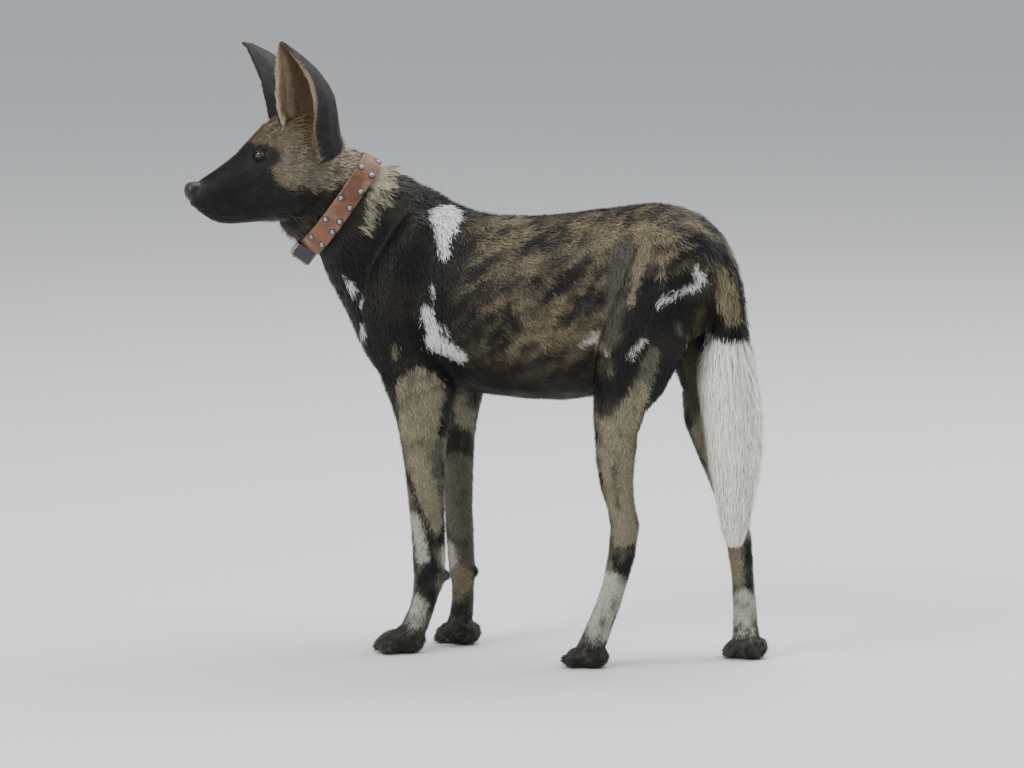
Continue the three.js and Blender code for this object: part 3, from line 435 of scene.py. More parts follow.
BLACK = tone(18, 18, 18)
BROWN_BLACK = tone(42, 38, 31)
BRINDLE = tone(104, 94, 72)
TAN = tone(130, 120, 94)
OCHRE = tone(136, 124, 98)
BEIGE = tone(152, 146, 122)
GREY = tone(84, 81, 72)
KHAKI = tone(136, 130, 106)
KHAKI_GREY = tone(98, 94, 80)
OLIVE = tone(78, 70, 50)
WHITE = tone(222, 223, 220)
DUSTY_WHITE = tone(186, 186, 173)
BRUSH_WHITE = tone(238, 236, 228)
MUD = tone(30, 28, 25)
DRY_MUD = tone(84, 81, 69)
STROKES = [
    (WHITE, "shoulder kite", (-0.080, -0.014, 0.677), (-0.062, -0.006, 0.684), 0.010, 0.016),
    (WHITE, "shoulder kite", (-0.063, -0.012, 0.672), (-0.052, -0.045, 0.612), 0.023, 0.005),
    (WHITE, "rib band", (-0.077, -0.055, 0.536), (-0.067, -0.051, 0.496), 0.009, 0.015),
    (WHITE, "rib band", (-0.066, -0.050, 0.490), (-0.029, -0.048, 0.467), 0.015, 0.012),
    (WHITE, "rib band", (-0.051, -0.057, 0.511), (-0.044, -0.057, 0.501), 0.003, 0.003),
    (WHITE, "chest fleck", (-0.219, -0.040, 0.577), (-0.210, -0.038, 0.562), 0.005, 0.008),
    (WHITE, "chest fleck", (-0.192, -0.037, 0.546), (-0.196, -0.035, 0.536), 0.004, 0.003),
    (WHITE, "chest fleck", (-0.195, -0.026, 0.506), (-0.201, -0.015, 0.488), 0.005, 0.005),
    (WHITE, "shoulder tick", (-0.070, -0.056, 0.569), (-0.068, -0.056, 0.553), 0.003, 0.003),
    (TAN, "elbow tick", (-0.121, -0.074, 0.480), (-0.121, -0.075, 0.469), 0.004, 0.005),
    (DUSTY_WHITE, "flank fleck", (0.167, -0.051, 0.490), (0.188, -0.049, 0.504), 0.004, 0.009),
    (DUSTY_WHITE, "thigh fleck", (0.219, -0.060, 0.535), (0.220, -0.064, 0.525), 0.003, 0.003),
    (DUSTY_WHITE, "thigh fleck", (0.210, -0.066, 0.492), (0.215, -0.069, 0.482), 0.004, 0.004),
    (DUSTY_WHITE, "thigh fleck", (0.223, -0.074, 0.458), (0.223, -0.075, 0.453), 0.002, 0.002),
    (DUSTY_WHITE, "thigh tick", (0.276, -0.074, 0.509), (0.258, -0.076, 0.483), 0.004, 0.004),
    (GREY, "thigh edge", (0.326, -0.059, 0.532), (0.327, -0.057, 0.520), 0.006, 0.006),
    (GREY, "thigh front", (0.231, -0.037, 0.634), (0.223, -0.066, 0.517), 0.021, 0.018),
    (OCHRE, "rump arc", (0.255, -0.036, 0.664), (0.312, -0.042, 0.655), 0.019, 0.014),
    (OCHRE, "rump arc", (0.312, -0.042, 0.652), (0.332, -0.019, 0.655), 0.012, 0.007),
    (OCHRE, "croup streak", (0.326, -0.002, 0.679), (0.359, 0.008, 0.655), 0.006, 0.005),
    (OCHRE, "rump limb", (0.267, -0.046, 0.642), (0.252, -0.064, 0.562), 0.012, 0.006),
    (TAN, "hip streak", (0.216, -0.008, 0.681), (0.206, -0.033, 0.644), 0.006, 0.006),
    (BLACK, "rump ring", (0.300, -0.049, 0.643), (0.334, -0.017, 0.656), 0.006, 0.007),
    (BLACK, "tail ridge", (0.338, -0.017, 0.654), (0.374, 0.006, 0.627), 0.013, 0.010),
    (BLACK, "tail ridge", (0.374, 0.006, 0.627), (0.398, 0.033, 0.581), 0.009, 0.006),
    (BLACK, "thigh top", (0.282, -0.063, 0.579), (0.338, -0.036, 0.620), 0.021, 0.024),
    (TAN, "thigh spot", (0.298, -0.052, 0.629), (0.299, -0.058, 0.604), 0.006, 0.005),
    (WHITE, "rump tick", (0.345, -0.029, 0.613), (0.351, -0.029, 0.597), 0.006, 0.009),
    (WHITE, "rump tick", (0.351, -0.029, 0.593), (0.302, -0.064, 0.563), 0.0075, 0.0045),
    (BLACK, "tail band", (0.352, 0.015, 0.548), (0.412, 0.016, 0.540), 0.030, 0.030),
    (BEIGE, "nape wedge", (-0.172, 0.004, 0.752), (-0.164, -0.020, 0.715), 0.022, 0.018),
    (BEIGE, "nape wedge", (-0.166, -0.022, 0.712), (-0.184, -0.046, 0.652), 0.017, 0.007),
    (BEIGE, "nape wedge", (-0.172, 0.004, 0.752), (-0.164, 0.030, 0.712), 0.022, 0.014),
    (TAN, "tail patch", (0.377, -0.002, 0.602), (0.392, 0.001, 0.548), 0.013, 0.018),
    (OLIVE, "under tail", (0.343, -0.020, 0.545), (0.331, 0.010, 0.507), 0.013, 0.014),
    (OLIVE, "far thigh", (0.304, 0.064, 0.475), (0.299, 0.084, 0.404), 0.014, 0.014),
    (KHAKI_GREY, "thigh back", (0.291, -0.072, 0.487), (0.275, -0.072, 0.440), 0.011, 0.015),
    (KHAKI, "thigh back", (0.274, -0.072, 0.435), (0.255, -0.072, 0.395), 0.014, 0.022),
    (BLACK, "stifle", (0.209, -0.071, 0.445), (0.210, -0.074, 0.400), 0.013, 0.007),
    (KHAKI, "shank", (0.238, -0.075, 0.365), (0.239, -0.064, 0.261), 0.031, 0.026),
    (KHAKI, "shank", (0.241, -0.063, 0.261), (0.245, -0.060, 0.207), 0.024, 0.020),
    # The grey line along the shank's crease is painted shade.
    (GREY, "shank crease shade", (0.231, -0.070, 0.314), (0.235, -0.063, 0.249), 0.004, 0.004),
    (BLACK, "hock", (0.239, -0.059, 0.176), (0.243, -0.054, 0.157), 0.016, 0.013),
    (BLACK, "hock point", (0.254, -0.053, 0.186), (0.250, -0.049, 0.160), 0.009, 0.007),
    (DUSTY_WHITE, "metatarsus", (0.224, -0.057, 0.132), (0.202, -0.057, 0.058), 0.022, 0.022),
    (GREY, "metatarsus speck", (0.230, -0.052, 0.110), (0.226, -0.053, 0.103), 0.004, 0.004),
    (GREY, "metatarsus speck", (0.211, -0.056, 0.079), (0.208, -0.056, 0.070), 0.005, 0.005),
    (KHAKI, "far shank", (0.317, 0.088, 0.351), (0.358, 0.100, 0.240), 0.022, 0.018),
    (KHAKI, "far hock", (0.366, 0.103, 0.205), (0.367, 0.104, 0.115), 0.018, 0.016),
    (BLACK, "far hock stripe", (0.384, 0.106, 0.176), (0.387, 0.106, 0.098), 0.009, 0.008),
    (BLACK, "far hock tick", (0.361, 0.107, 0.116), (0.374, 0.102, 0.107), 0.005, 0.005),
    (DUSTY_WHITE, "far metatarsus", (0.379, 0.102, 0.089), (0.376, 0.099, 0.040), 0.022, 0.022),
    (KHAKI, "forearm", (-0.080, -0.072, 0.413), (-0.084, -0.059, 0.292), 0.038, 0.025),
    (KHAKI, "forearm", (-0.080, -0.055, 0.276), (-0.070, -0.045, 0.205), 0.021, 0.016),
    (BLACK, "elbow", (-0.043, -0.043, 0.396), (-0.052, -0.044, 0.353), 0.012, 0.012),
    # The grey down the back of the near forearm is painted shade.
    (GREY, "forearm rear shade", (-0.060, -0.049, 0.331), (-0.063, -0.045, 0.285), 0.009, 0.008),
    (BLACK, "forearm line", (-0.107, -0.055, 0.281), (-0.077, -0.049, 0.196), 0.006, 0.006),
    (BLACK, "forearm line", (-0.074, -0.048, 0.196), (-0.071, -0.045, 0.149), 0.006, 0.006),
    (DUSTY_WHITE, "wrist stripe", (-0.099, -0.051, 0.213), (-0.085, -0.049, 0.155), 0.011, 0.011),
    (BLACK, "wrist front", (-0.103, -0.044, 0.167), (-0.100, -0.044, 0.132), 0.006, 0.006),
    (DUSTY_WHITE, "wrist rear", (-0.059, -0.031, 0.166), (-0.058, -0.025, 0.138), 0.007, 0.005),
    (BLACK, "carpus", (-0.077, -0.047, 0.134), (-0.080, -0.045, 0.102), 0.015, 0.015),
    (BLACK, "carpal pad", (-0.058, -0.034, 0.128), (-0.050, -0.030, 0.120), 0.009, 0.012),
    (BLACK, "carpus foot", (-0.084, -0.046, 0.102), (-0.074, -0.035, 0.082), 0.011, 0.008),
    (DUSTY_WHITE, "pastern", (-0.095, -0.044, 0.080), (-0.103, -0.044, 0.052), 0.015, 0.016),
    (BEIGE, "far forearm", (-0.058, 0.062, 0.379), (-0.060, 0.067, 0.350), 0.017, 0.015),
    (BLACK, "far elbow", (-0.047, 0.067, 0.383), (-0.046, 0.069, 0.377), 0.011, 0.011),
    (BROWN_BLACK, "far forearm band", (-0.071, 0.066, 0.322), (-0.071, 0.066, 0.306), 0.022, 0.020),
    (KHAKI_GREY, "far forearm", (-0.071, 0.066, 0.278), (-0.070, 0.062, 0.186), 0.025, 0.022),
    (DUSTY_WHITE, "far wrist", (-0.085, 0.064, 0.155), (-0.082, 0.062, 0.132), 0.009, 0.009),
    (BLACK, "far carpal pad", (-0.050, 0.071, 0.117), (-0.047, 0.071, 0.112), 0.010, 0.011),
    (TAN, "far carpus", (-0.063, 0.061, 0.108), (-0.063, 0.061, 0.098), 0.017, 0.017),
    (WHITE, "right shoulder patch", (-0.078, 0.092, 0.662), (-0.045, 0.100, 0.606), 0.019, 0.010),
    (WHITE, "right rib patch", (-0.018, 0.115, 0.512), (0.045, 0.107, 0.462), 0.010, 0.019),
    (TAN, "right flank patch", (0.130, 0.114, 0.580), (0.175, 0.109, 0.520), 0.022, 0.014),
    (OCHRE, "right rump patch", (0.285, 0.106, 0.640), (0.320, 0.111, 0.590), 0.020, 0.014),
    (WHITE, "right thigh patch", (0.290, 0.129, 0.500), (0.280, 0.127, 0.450), 0.012, 0.007),
    (WHITE, "right neck fleck", (-0.200, 0.082, 0.560), (-0.195, 0.085, 0.540), 0.006, 0.005),
    (KHAKI, "right shank", (0.300, 0.128, 0.420), (0.330, 0.130, 0.300), 0.022, 0.018),
    (BLACK, "right hock", (0.365, 0.128, 0.200), (0.372, 0.128, 0.160), 0.014, 0.012),
    (DUSTY_WHITE, "right wrist", (-0.082, 0.100, 0.210), (-0.080, 0.098, 0.155), 0.009, 0.010),
]
EDGE_NOISE = 0.0035
EDGE_CELL = 0.008
EDGE_SOFT = 0.0026
PAINT_THIN = 0.5
WHITE_RAGGED = 0.55


def stroke_gap(points, start, end, start_width, end_width):
    """Distance from each point to the edge of a stroke, less than zero inside it."""
    start, run = np.array(start), np.array(end) - np.array(start)
    share = np.clip((points - start) @ run / max(run @ run, 1e-9), 0, 1)
    middle = start + share[:, None] * run
    return np.linalg.norm(points - middle, axis=1) - (start_width + (end_width - start_width) * share)


def blended(under, over, share):
    """One colour laid over another by a share at each point."""
    return under + (over - under) * share[:, None]


BRINDLE_RUN = unit([0.80, 0, 0.60])
BRINDLE_RISE = unit([-0.60, 0, 0.80])


def body_colour(points):
    """The coat's colour on the neck, trunk, legs and tail."""
    colour = np.tile(BLACK, (len(points), 1))
    colour = blended(colour, BROWN_BLACK, ramp(clouds(points, 0.05, 3), 0.35, 0.8) * 0.8)
    along = np.stack([points @ BRINDLE_RUN, points @ BRINDLE_RISE, points[:, 1]], axis=1)
    streaks = 0.45 * clouds(along, (0.040, 0.014, 0.03), 5) + 0.35 * clouds(along, (0.016, 0.007, 0.02), 6)
    streaks += 0.20 * clouds(along, (0.006, 0.003, 0.006), 7)
    trunk = ramp(points[:, 0], -0.05, 0.03) * (1 - ramp(points[:, 0], 0.20, 0.26))
    trunk *= ramp(points[:, 2], 0.41, 0.52) * (1 - ramp(points[:, 2], 0.67, 0.71))
    rump = ramp(points[:, 0], 0.20, 0.24) * ramp(points[:, 2], 0.56, 0.62)
    mottled = np.maximum(trunk, rump * 0.8)
    colour = blended(colour, BROWN_BLACK * 1.4, mottled * 0.8)
    colour = blended(colour, BRINDLE, mottled * ramp(streaks, 0.38, 0.62) * 0.85)
    colour = blended(colour, TAN, mottled * ramp(streaks, 0.56, 0.72) * 0.7)
    colour = blended(colour, BLACK, mottled * (1 - ramp(streaks, 0.30, 0.44)) * 0.8)
    neck = ramp(-points[:, 0], 0.10, 0.16) * ramp(points[:, 2], 0.66, 0.71)
    colour = blended(colour, GREY, neck * ramp(clouds(points, 0.03, 8), 0.4, 0.7) * 0.3)
    legs = 1 - ramp(points[:, 2], 0.36, 0.43)
    colour = blended(colour, KHAKI_GREY, legs * ramp(clouds(points, 0.030, 9), 0.28, 0.55) * 0.85)
    colour = blended(colour, KHAKI, legs * ramp(clouds(points, 0.018, 10), 0.50, 0.75) * 0.5)
    thin = 0.6 * clouds(points, 0.014, 13) + 0.4 * clouds(points, 0.0045, 14)
    edge = (clouds(points, EDGE_CELL, 11) + 0.6 * clouds(points, EDGE_CELL * 0.4, 12) - 0.8) * 2 * EDGE_NOISE
    for paint, name, start, end, start_width, end_width in STROKES:
        ragged = WHITE_RAGGED if paint is WHITE else min(0.5 + 40 * start_width, 1.1)
        gap = stroke_gap(points, start, end, start_width, end_width) + edge * ragged
        cover = 1 - ramp(gap, -EDGE_SOFT, EDGE_SOFT)
        if paint is not WHITE:
            cover = cover * (1 - PAINT_THIN * (1 - ramp(thin, 0.30, 0.52)))
        colour = blended(colour, paint, cover)
    brush = (1 - ramp(points[:, 2] + edge * 2 + 0.22 * (points[:, 0] - 0.38), 0.499, 0.506))
    brush *= (ramp(points[:, 0], 0.335, 0.345) * ramp(points[:, 2], 0.20, 0.22)
              * (1 - ramp(points[:, 1], 0.066, 0.07)))
    colour = blended(colour, BRUSH_WHITE, brush)
    far_fore = ramp(points[:, 1], 0.03, 0.05) * (1 - ramp(points[:, 0], 0.0, 0.1))
    muddy = 1 - ramp(points[:, 2] + edge * 6 - 0.035 * far_fore, 0.036, 0.058)
    mud = blended(np.tile(MUD, (len(points), 1)), DRY_MUD, ramp(clouds(points, 0.005, 15), 0.50, 0.75) * 0.8)
    return blended(colour, mud, muddy * 0.94)


print(len(STROKES), "strokes, first", STROKES[0][1])

# %% [markdown]
# The face has its own rules, told in the head's frame. The muzzle, throat and lower cheek are black, the
# forehead is brown-grey, and a beige cheek runs back under the ear. A dark line divides them. The ears
# are dark behind, with a pale line down the rear rim, and cream hair fills the front of the cup.

# %% Colours of the head
FACE_EDGE = ([-90, -50, -22, 0, 47, 69, 78, 92, 104], [-16, -18, -26, -34, -30, -18, 4, 26, 46])
DARK_FACE = tone(27, 24, 24)
FOREHEAD = tone(124, 108, 84)
CHEEK = tone(136, 128, 108)
EAR_BACK = tone(46, 47, 51)
EAR_STRIPE = tone(100, 77, 58)
EAR_CREAM = tone(196, 180, 148)
EAR_ROWS = np.array([
    [-10, 46, 18, 28, 150],
    [4, 49, 45, 37, 138],
    [13, 52, 70, 43, 128],
    [20, 55, 90, 46, 118],
    [27, 58, 108, 44, 108],
    [38, 64, 135, 36, 97],
    [52, 72, 162, 23, 88],
    [62, 79, 184, 9, 80],
    [65, 82, 192, 3, 75],
])
EAR_TURN_OUT = math.radians(30)
EAR_POSES = {1: (0, 0), -1: (22, 11)}


def ear_frame(local):
    """Where points sit on an ear: share of its height, place across it (-1 front rim to 1 rear rim),
    the direction out from the ear's middle line, and the ear's own upward direction."""
    side = np.where(local[:, 1] > 0, 1, -1)
    rows = np.linspace(0, 1, len(EAR_ROWS))
    share = np.linspace(0, 1, 60)
    lean = np.where(side > 0, EAR_POSES[1][0], EAR_POSES[-1][0])
    drop = np.where(side > 0, EAR_POSES[1][1], EAR_POSES[-1][1])
    heights = np.interp(share, rows, EAR_ROWS[:, 2])
    up = local[:, 2] + drop * np.interp(local[:, 2], heights, share) ** 2
    high = np.interp(up, heights, share)
    ahead, aside, _, radius, wrap = (np.interp(high, rows, EAR_ROWS[:, k]) for k in range(5))
    middle = np.stack([ahead + lean * high ** 2, side * aside, local[:, 2]], axis=1)
    axis = unit(np.stack([75 + lean, side * 36, 174 - drop], axis=1))
    opening = np.stack([np.full(len(local), math.cos(EAR_TURN_OUT)), side * math.sin(EAR_TURN_OUT),
                        np.zeros(len(local))], axis=1)
    opening = unit(opening - axis * np.sum(opening * axis, axis=1, keepdims=True))
    across = np.cross(axis, opening)
    away = local - middle
    angle = np.arctan2(np.sum(away * across, axis=1), -np.sum(away * opening, axis=1))
    place = side * angle / np.radians(wrap)
    radial = unit(across * np.sin(angle)[:, None] - opening * np.cos(angle)[:, None])
    return high, np.clip(place, -1.1, 1.1), radial, axis


def head_colour(points, normals, on_ear):
    """The coat's colour on the head, the ears and the neck ahead of the collar."""
    local = in_head(points)
    forward, left, high = local[:, 0], abs(local[:, 1]), local[:, 2]
    patchy = clouds(local, 9, 21) - 0.5
    fine = clouds(local, 3.5, 22) - 0.5
    colour = np.tile(FOREHEAD, (len(points), 1))
    colour = blended(colour, BROWN_BLACK, ramp(patchy + fine, 0.05, 0.3) * 0.75)
    cheek = ramp(left, 34, 46) * (1 - ramp(forward, 56, 70)) * (1 - 0.65 * ramp(high + 30 * patchy, 14, 40))
    cheek = np.maximum(cheek, 1 - ramp(forward, -30, -5))
    colour = blended(colour, CHEEK, cheek * ramp(patchy + fine, -0.30, 0.10))
    streaky = clouds(local * [0.4, 1, 1], 5, 23)
    # The grey band under the ear is painted shade, where the ear shades the cheek; the grey streaks are the
    # coat's own.
    under_ear = np.exp(-((forward + 0.5 * high - 14) / 16) ** 2) * ramp(left, 34, 44)
    shade = np.maximum(0.55 * under_ear, 0.9 * ramp(streaky, 0.5, 0.7)) * cheek
    colour = blended(colour, GREY, shade * 0.75)
    line = 1 - ramp(left, 3, 8)
    line *= ramp(forward, 40, 60)
    colour = blended(colour, DARK_FACE, line * 0.7)
    ruff = ramp(-forward, 0, 30) * ramp(fine + 0.6 * patchy, -0.1, 0.2)
    colour = blended(colour, EAR_CREAM, ruff * 0.45)
    edge = np.interp(forward, *FACE_EDGE)
    dark = ramp(edge - high + 18 * patchy + 16 * fine, -7, 7)
    colour = blended(colour, DARK_FACE, dark)
    colour = blended(colour, BROWN_BLACK, dark * ramp(patchy, 0.05, 0.3) * 0.7)
    beard = ramp(-high, 62, 74) * ramp(forward, -30, 0) * (1 - ramp(forward, 60, 85))
    colour = blended(colour, OCHRE, beard * ramp(fine + patchy, -0.1, 0.3) * 0.28)
    eye_gap = np.linalg.norm((local - EYE_CENTRE) * [0.74, 0, 1], axis=1)
    ring = 1 - ramp(eye_gap + 5 * fine, 13, 21)
    colour = blended(colour, DARK_FACE, ring * ramp(left, 8, 14) * ramp(forward, 55, 66))
    share, place, radial, _ = ear_frame(local)
    back = np.sum((normals @ HEAD_AXES.T) * radial, axis=1) > 0
    ear = np.tile(EAR_BACK, (len(points), 1))
    ear = blended(ear, BROWN_BLACK, ramp(patchy, -0.1, 0.2) * 0.6)
    pale = (1 - ramp(abs(place + 0.08), 0.14, 0.30)) * (1 - ramp(share + 0.2 * patchy, 0.32, 0.5))
    ear = blended(ear, CHEEK, pale * 0.9)
    rim = ramp(place, 0.93, 0.99) * (1 - ramp(share, 0.62, 0.9))
    ear = blended(ear, EAR_CREAM, rim * 0.6)
    cup = np.tile(EAR_STRIPE, (len(points), 1))
    cream = np.maximum(ramp(-place, 0.45, 0.80) * 0.9, 0.8 * ramp(place, 0.86, 0.97))
    cream = cream * (1 - ramp(share, 0.7, 0.95) * 0.9)
    cup = blended(cup, EAR_CREAM, cream * ramp(patchy + fine, -0.9, -0.4))
    ear = np.where(back[:, None], ear, cup)
    return blended(colour, ear, on_ear)


print("face and ears have", len(FACE_EDGE[0]), "points on the line between pale and dark")

# %% [markdown]
# A dog's hair has a lie: back along the trunk, down the legs, forward over the toes. A few guides hold
# the direction of the hair and its length at places on the body. Any other place takes a mean of the
# guides round it, laid flat on the skin there.

# %% Lie of the coat
LIE = [
    ((-0.16, 0.00, 0.74), (0.72, 0.30, -0.50), 0.026),
    ((-0.18, -0.05, 0.66), (0.60, 0.25, -0.75), 0.022),
    ((-0.20, 0.05, 0.64), (0.60, -0.10, -0.75), 0.022),
    ((-0.25, -0.02, 0.60), (0.45, 0.10, -0.90), 0.022),
    ((-0.05, 0.00, 0.70), (1.00, 0.00, -0.10), 0.019),
    ((0.10, 0.00, 0.70), (1.00, 0.00, -0.03), 0.018),
    ((0.25, 0.00, 0.71), (1.00, 0.00, -0.10), 0.018),
    ((0.33, 0.00, 0.68), (0.80, 0.00, -0.60), 0.019),
    ((0.38, 0.03, 0.60), (0.35, 0.12, -0.95), 0.024),
    ((0.40, 0.03, 0.52), (0.10, 0.00, -1.00), 0.030),
    ((0.36, 0.03, 0.52), (-0.05, 0.00, -1.00), 0.026),
    ((-0.23, 0.00, 0.52), (0.35, 0.00, -0.95), 0.022),
    ((-0.16, 0.00, 0.42), (0.75, 0.00, -0.60), 0.018),
    ((0.05, 0.00, 0.41), (1.00, 0.00, -0.10), 0.014),
    ((0.20, 0.00, 0.45), (0.90, 0.00, 0.20), 0.014),
    ((0.37, 0.00, 0.50), (0.20, 0.00, -1.00), 0.020),
]
LIE_BOTH_SIDES = [
    ((-0.12, 0.07, 0.64), (0.60, 0.00, -0.80), 0.019),
    ((-0.058, 0.032, 0.645), (0.30, 0.35, -0.90), 0.0212),
    ((-0.14, 0.07, 0.54), (0.30, 0.00, -0.95), 0.017),
    ((-0.066, 0.082, 0.525), (0.40, 0.00, -0.92), 0.020),
    ((-0.08, 0.08, 0.45), (0.35, 0.00, -0.95), 0.015),
    ((0.00, 0.09, 0.60), (0.90, 0.00, -0.40), 0.017),
    ((0.00, 0.09, 0.48), (0.85, 0.00, -0.50), 0.017),
    ((0.10, 0.09, 0.62), (0.93, 0.00, -0.35), 0.017),
    ((0.10, 0.09, 0.50), (0.88, 0.00, -0.45), 0.017),
    ((0.19, 0.07, 0.58), (0.75, 0.00, -0.65), 0.016),
    ((0.18, 0.06, 0.47), (0.80, 0.00, -0.30), 0.016),
    ((0.26, 0.07, 0.62), (0.65, 0.00, -0.75), 0.016),
    ((0.24, 0.08, 0.50), (0.35, 0.00, -0.95), 0.015),
    ((0.31, 0.08, 0.52), (0.55, 0.00, -0.85), 0.019),
    ((0.327, 0.050, 0.580), (-0.70, -0.30, -0.50), 0.0161),
    ((0.33, 0.04, 0.60), (0.60, 0.00, -0.80), 0.018),
]
LIE_LEGS = {
    "front_left": [
        (-0.090, -0.044, 0.36), (-0.087, -0.040, 0.22),
        (-0.082, -0.028, 0.12), (-0.110, -0.025, 0.055),
    ],
    "front_right": [
        (-0.083, 0.089, 0.36), (-0.080, 0.083, 0.22),
        (-0.072, 0.078, 0.12), (-0.070, 0.077, 0.055),
    ],
    "hind_left": [
        (0.236, -0.050, 0.38), (0.234, -0.048, 0.28),
        (0.232, -0.045, 0.17), (0.198, -0.041, 0.065),
    ],
    "hind_right": [
        (0.315, 0.105, 0.38), (0.340, 0.112, 0.28),
        (0.368, 0.116, 0.17), (0.376, 0.117, 0.065),
    ],
}
LEG_HAIR = (0.0085, 0.0065, 0.0060, 0.0075)
TOE_HAIR = 0.0075
GUIDE_POWER = 4
COAT_SHARE = 0.72
TRUNK_SHARE = 0.82
TRUNK_SPAN = (-0.13, 0.335)
LENGTH_DIGITS = 4


def hair_length(x, full):
    """Hair at a guide, to a tenth of a millimetre: a share of the full length, less on the trunk."""
    length = round(full * COAT_SHARE, LENGTH_DIGITS)
    if TRUNK_SPAN[0] < x < TRUNK_SPAN[1]:
        length = round(length * TRUNK_SHARE, LENGTH_DIGITS)
    return length


def lie_guides():
    """All guides as places, directions and hair lengths, with the mirrored ones and the legs."""
    guides = [(place, run, hair_length(place[0], full)) for place, run, full in LIE]
    for side in (-1, 1):
        guides += [
            ((x, side * y, z), (dx, side * dy, dz), hair_length(x, full))
            for (x, y, z), (dx, dy, dz), full in LIE_BOTH_SIDES
        ]
    for leg in LEGS:
        stations = LIE_LEGS[leg]
        for k, place in enumerate(stations):
            below = stations[k + 1] if k + 1 < len(stations) else (place[0] - 0.01, place[1], 0.03)
            guides.append((place, tuple(np.subtract(below, place)), LEG_HAIR[k]))
        toes = np.add(stations[-1], (-0.05, 0.005, -0.045))
        guides.append((tuple(toes), (-0.8, 0, -0.5), TOE_HAIR))
    places, runs, sizes = zip(*guides)
    return np.array(places), unit(runs), np.array(sizes)


GUIDE_PLACES, GUIDE_RUNS, GUIDE_SIZES = lie_guides()


def body_lie(points):
    """Direction and length of the body's hair at each point."""
    runs = np.zeros((len(points), 3))
    sizes = np.zeros(len(points))
    total = np.zeros(len(points))
    for place, run, size in zip(GUIDE_PLACES, GUIDE_RUNS, GUIDE_SIZES):
        share = 1 / (np.sum((points - place) ** 2, axis=1) + 1e-4) ** (GUIDE_POWER / 2)
        runs += share[:, None] * run
        sizes += share * size
        total += share
    return unit(runs), sizes / total


def head_lie(points, normals, on_ear):
    """Direction and length of the head's hair: back from the nose, and up the ears."""
    local = in_head(points)
    runs = np.tile([-1.0, 0.0, -0.12], (len(points), 1))
    runs[:, 1] += np.sign(local[:, 1]) * 0.25 * ramp(local[:, 0], 20, 120)
    runs[:, 2] -= 0.5 * ramp(-local[:, 2], 20, 70) * (1 - ramp(local[:, 0], 60, 110))
    sizes = np.interp(local[:, 0], [-80, -30, 20, 70, 110, 150, 180], [20, 15, 11, 7, 5, 3.6, 3.0]) * MM
    jaw = ramp(-local[:, 2], 55, 75) * (1 - ramp(local[:, 0], 60, 100))
    crown = ramp(local[:, 2], 48, 70) * (1 - ramp(abs(local[:, 1]), 22, 40))
    sizes = sizes + 0.010 * jaw + 0.012 * crown
    share, place, radial, axis = ear_frame(local)
    up = axis + np.cross(radial, axis) * (0.45 * place * np.sign(-local[:, 1]))[:, None]
    inside = np.sum((normals @ HEAD_AXES.T) * radial, axis=1) < 0
    fringe = (inside * np.maximum(ramp(-place, 0.45, 0.8), ramp(place, 0.85, 0.97))
              * (1 - ramp(share, 0.6, 0.95)))
    ear_sizes = (4.2 - 1.6 * share + 5 * fringe + 6 * (1 - ramp(share, 0.02, 0.2))) * MM
    runs = np.where(on_ear[:, None] > 0.5, up, unit(runs))
    return unit(runs @ HEAD_AXES), np.where(on_ear > 0.5, ear_sizes, sizes)


print(len(GUIDE_PLACES), "guides for the lie")

# %% [markdown]
# Two effects are shared by several finishes, so each is made once as a group of shader nodes. "Mottle"
# varies a colour and a gloss in small clouds, as hair, hide and dust do. "Relief" makes the height of a
# fine pebbled or fibrous surface.

# %% Shared effects
def add_socket(group, name, kind, way, value=None):
    """A named socket on a node group."""
    socket = group.interface.new_socket(name=name, in_out=way, socket_type=kind)
    if value is not None:
        socket.default_value = value


def mottle_group():
    """Colour and roughness that vary in clouds of a chosen scale."""
    group = bpy.data.node_groups.new("Mottle", "ShaderNodeTree")
    add_socket(group, "Color", "NodeSocketColor", "INPUT", (0.5, 0.5, 0.5, 1))
    add_socket(group, "Scale", "NodeSocketFloat", "INPUT", 100)
    add_socket(group, "Darkest", "NodeSocketFloat", "INPUT", 0.8)
    add_socket(group, "Lightest", "NodeSocketFloat", "INPUT", 1.2)
    add_socket(group, "Smooth", "NodeSocketFloat", "INPUT", 0.4)
    add_socket(group, "Rough", "NodeSocketFloat", "INPUT", 0.7)
    add_socket(group, "Color", "NodeSocketColor", "OUTPUT")
    add_socket(group, "Roughness", "NodeSocketFloat", "OUTPUT")
    nodes, links = group.nodes, group.links
    given = nodes.new("NodeGroupInput")
    made = nodes.new("NodeGroupOutput")
    place = nodes.new("ShaderNodeTexCoord")
    noise = nodes.new("ShaderNodeTexNoise")
    noise.inputs["Detail"].default_value = 3
    links.new(place.outputs["Object"], noise.inputs["Vector"])
    links.new(given.outputs["Scale"], noise.inputs["Scale"])
    light = nodes.new("ShaderNodeMapRange")
    light.inputs["From Min"].default_value = 0.3
    light.inputs["From Max"].default_value = 0.7
    links.new(noise.outputs["Fac"], light.inputs["Value"])
    links.new(given.outputs["Darkest"], light.inputs["To Min"])
    links.new(given.outputs["Lightest"], light.inputs["To Max"])
    scaled = nodes.new("ShaderNodeVectorMath")
    scaled.operation = "SCALE"
    links.new(given.outputs["Color"], scaled.inputs[0])
    links.new(light.outputs["Result"], scaled.inputs["Scale"])
    links.new(scaled.outputs["Vector"], made.inputs["Color"])
    gloss = nodes.new("ShaderNodeMapRange")
    gloss.inputs["From Min"].default_value = 0.3
    gloss.inputs["From Max"].default_value = 0.7
    links.new(noise.outputs["Fac"], gloss.inputs["Value"])
    links.new(given.outputs["Smooth"], gloss.inputs["To Min"])
    links.new(given.outputs["Rough"], gloss.inputs["To Max"])
    links.new(gloss.outputs["Result"], made.inputs["Roughness"])
    return group


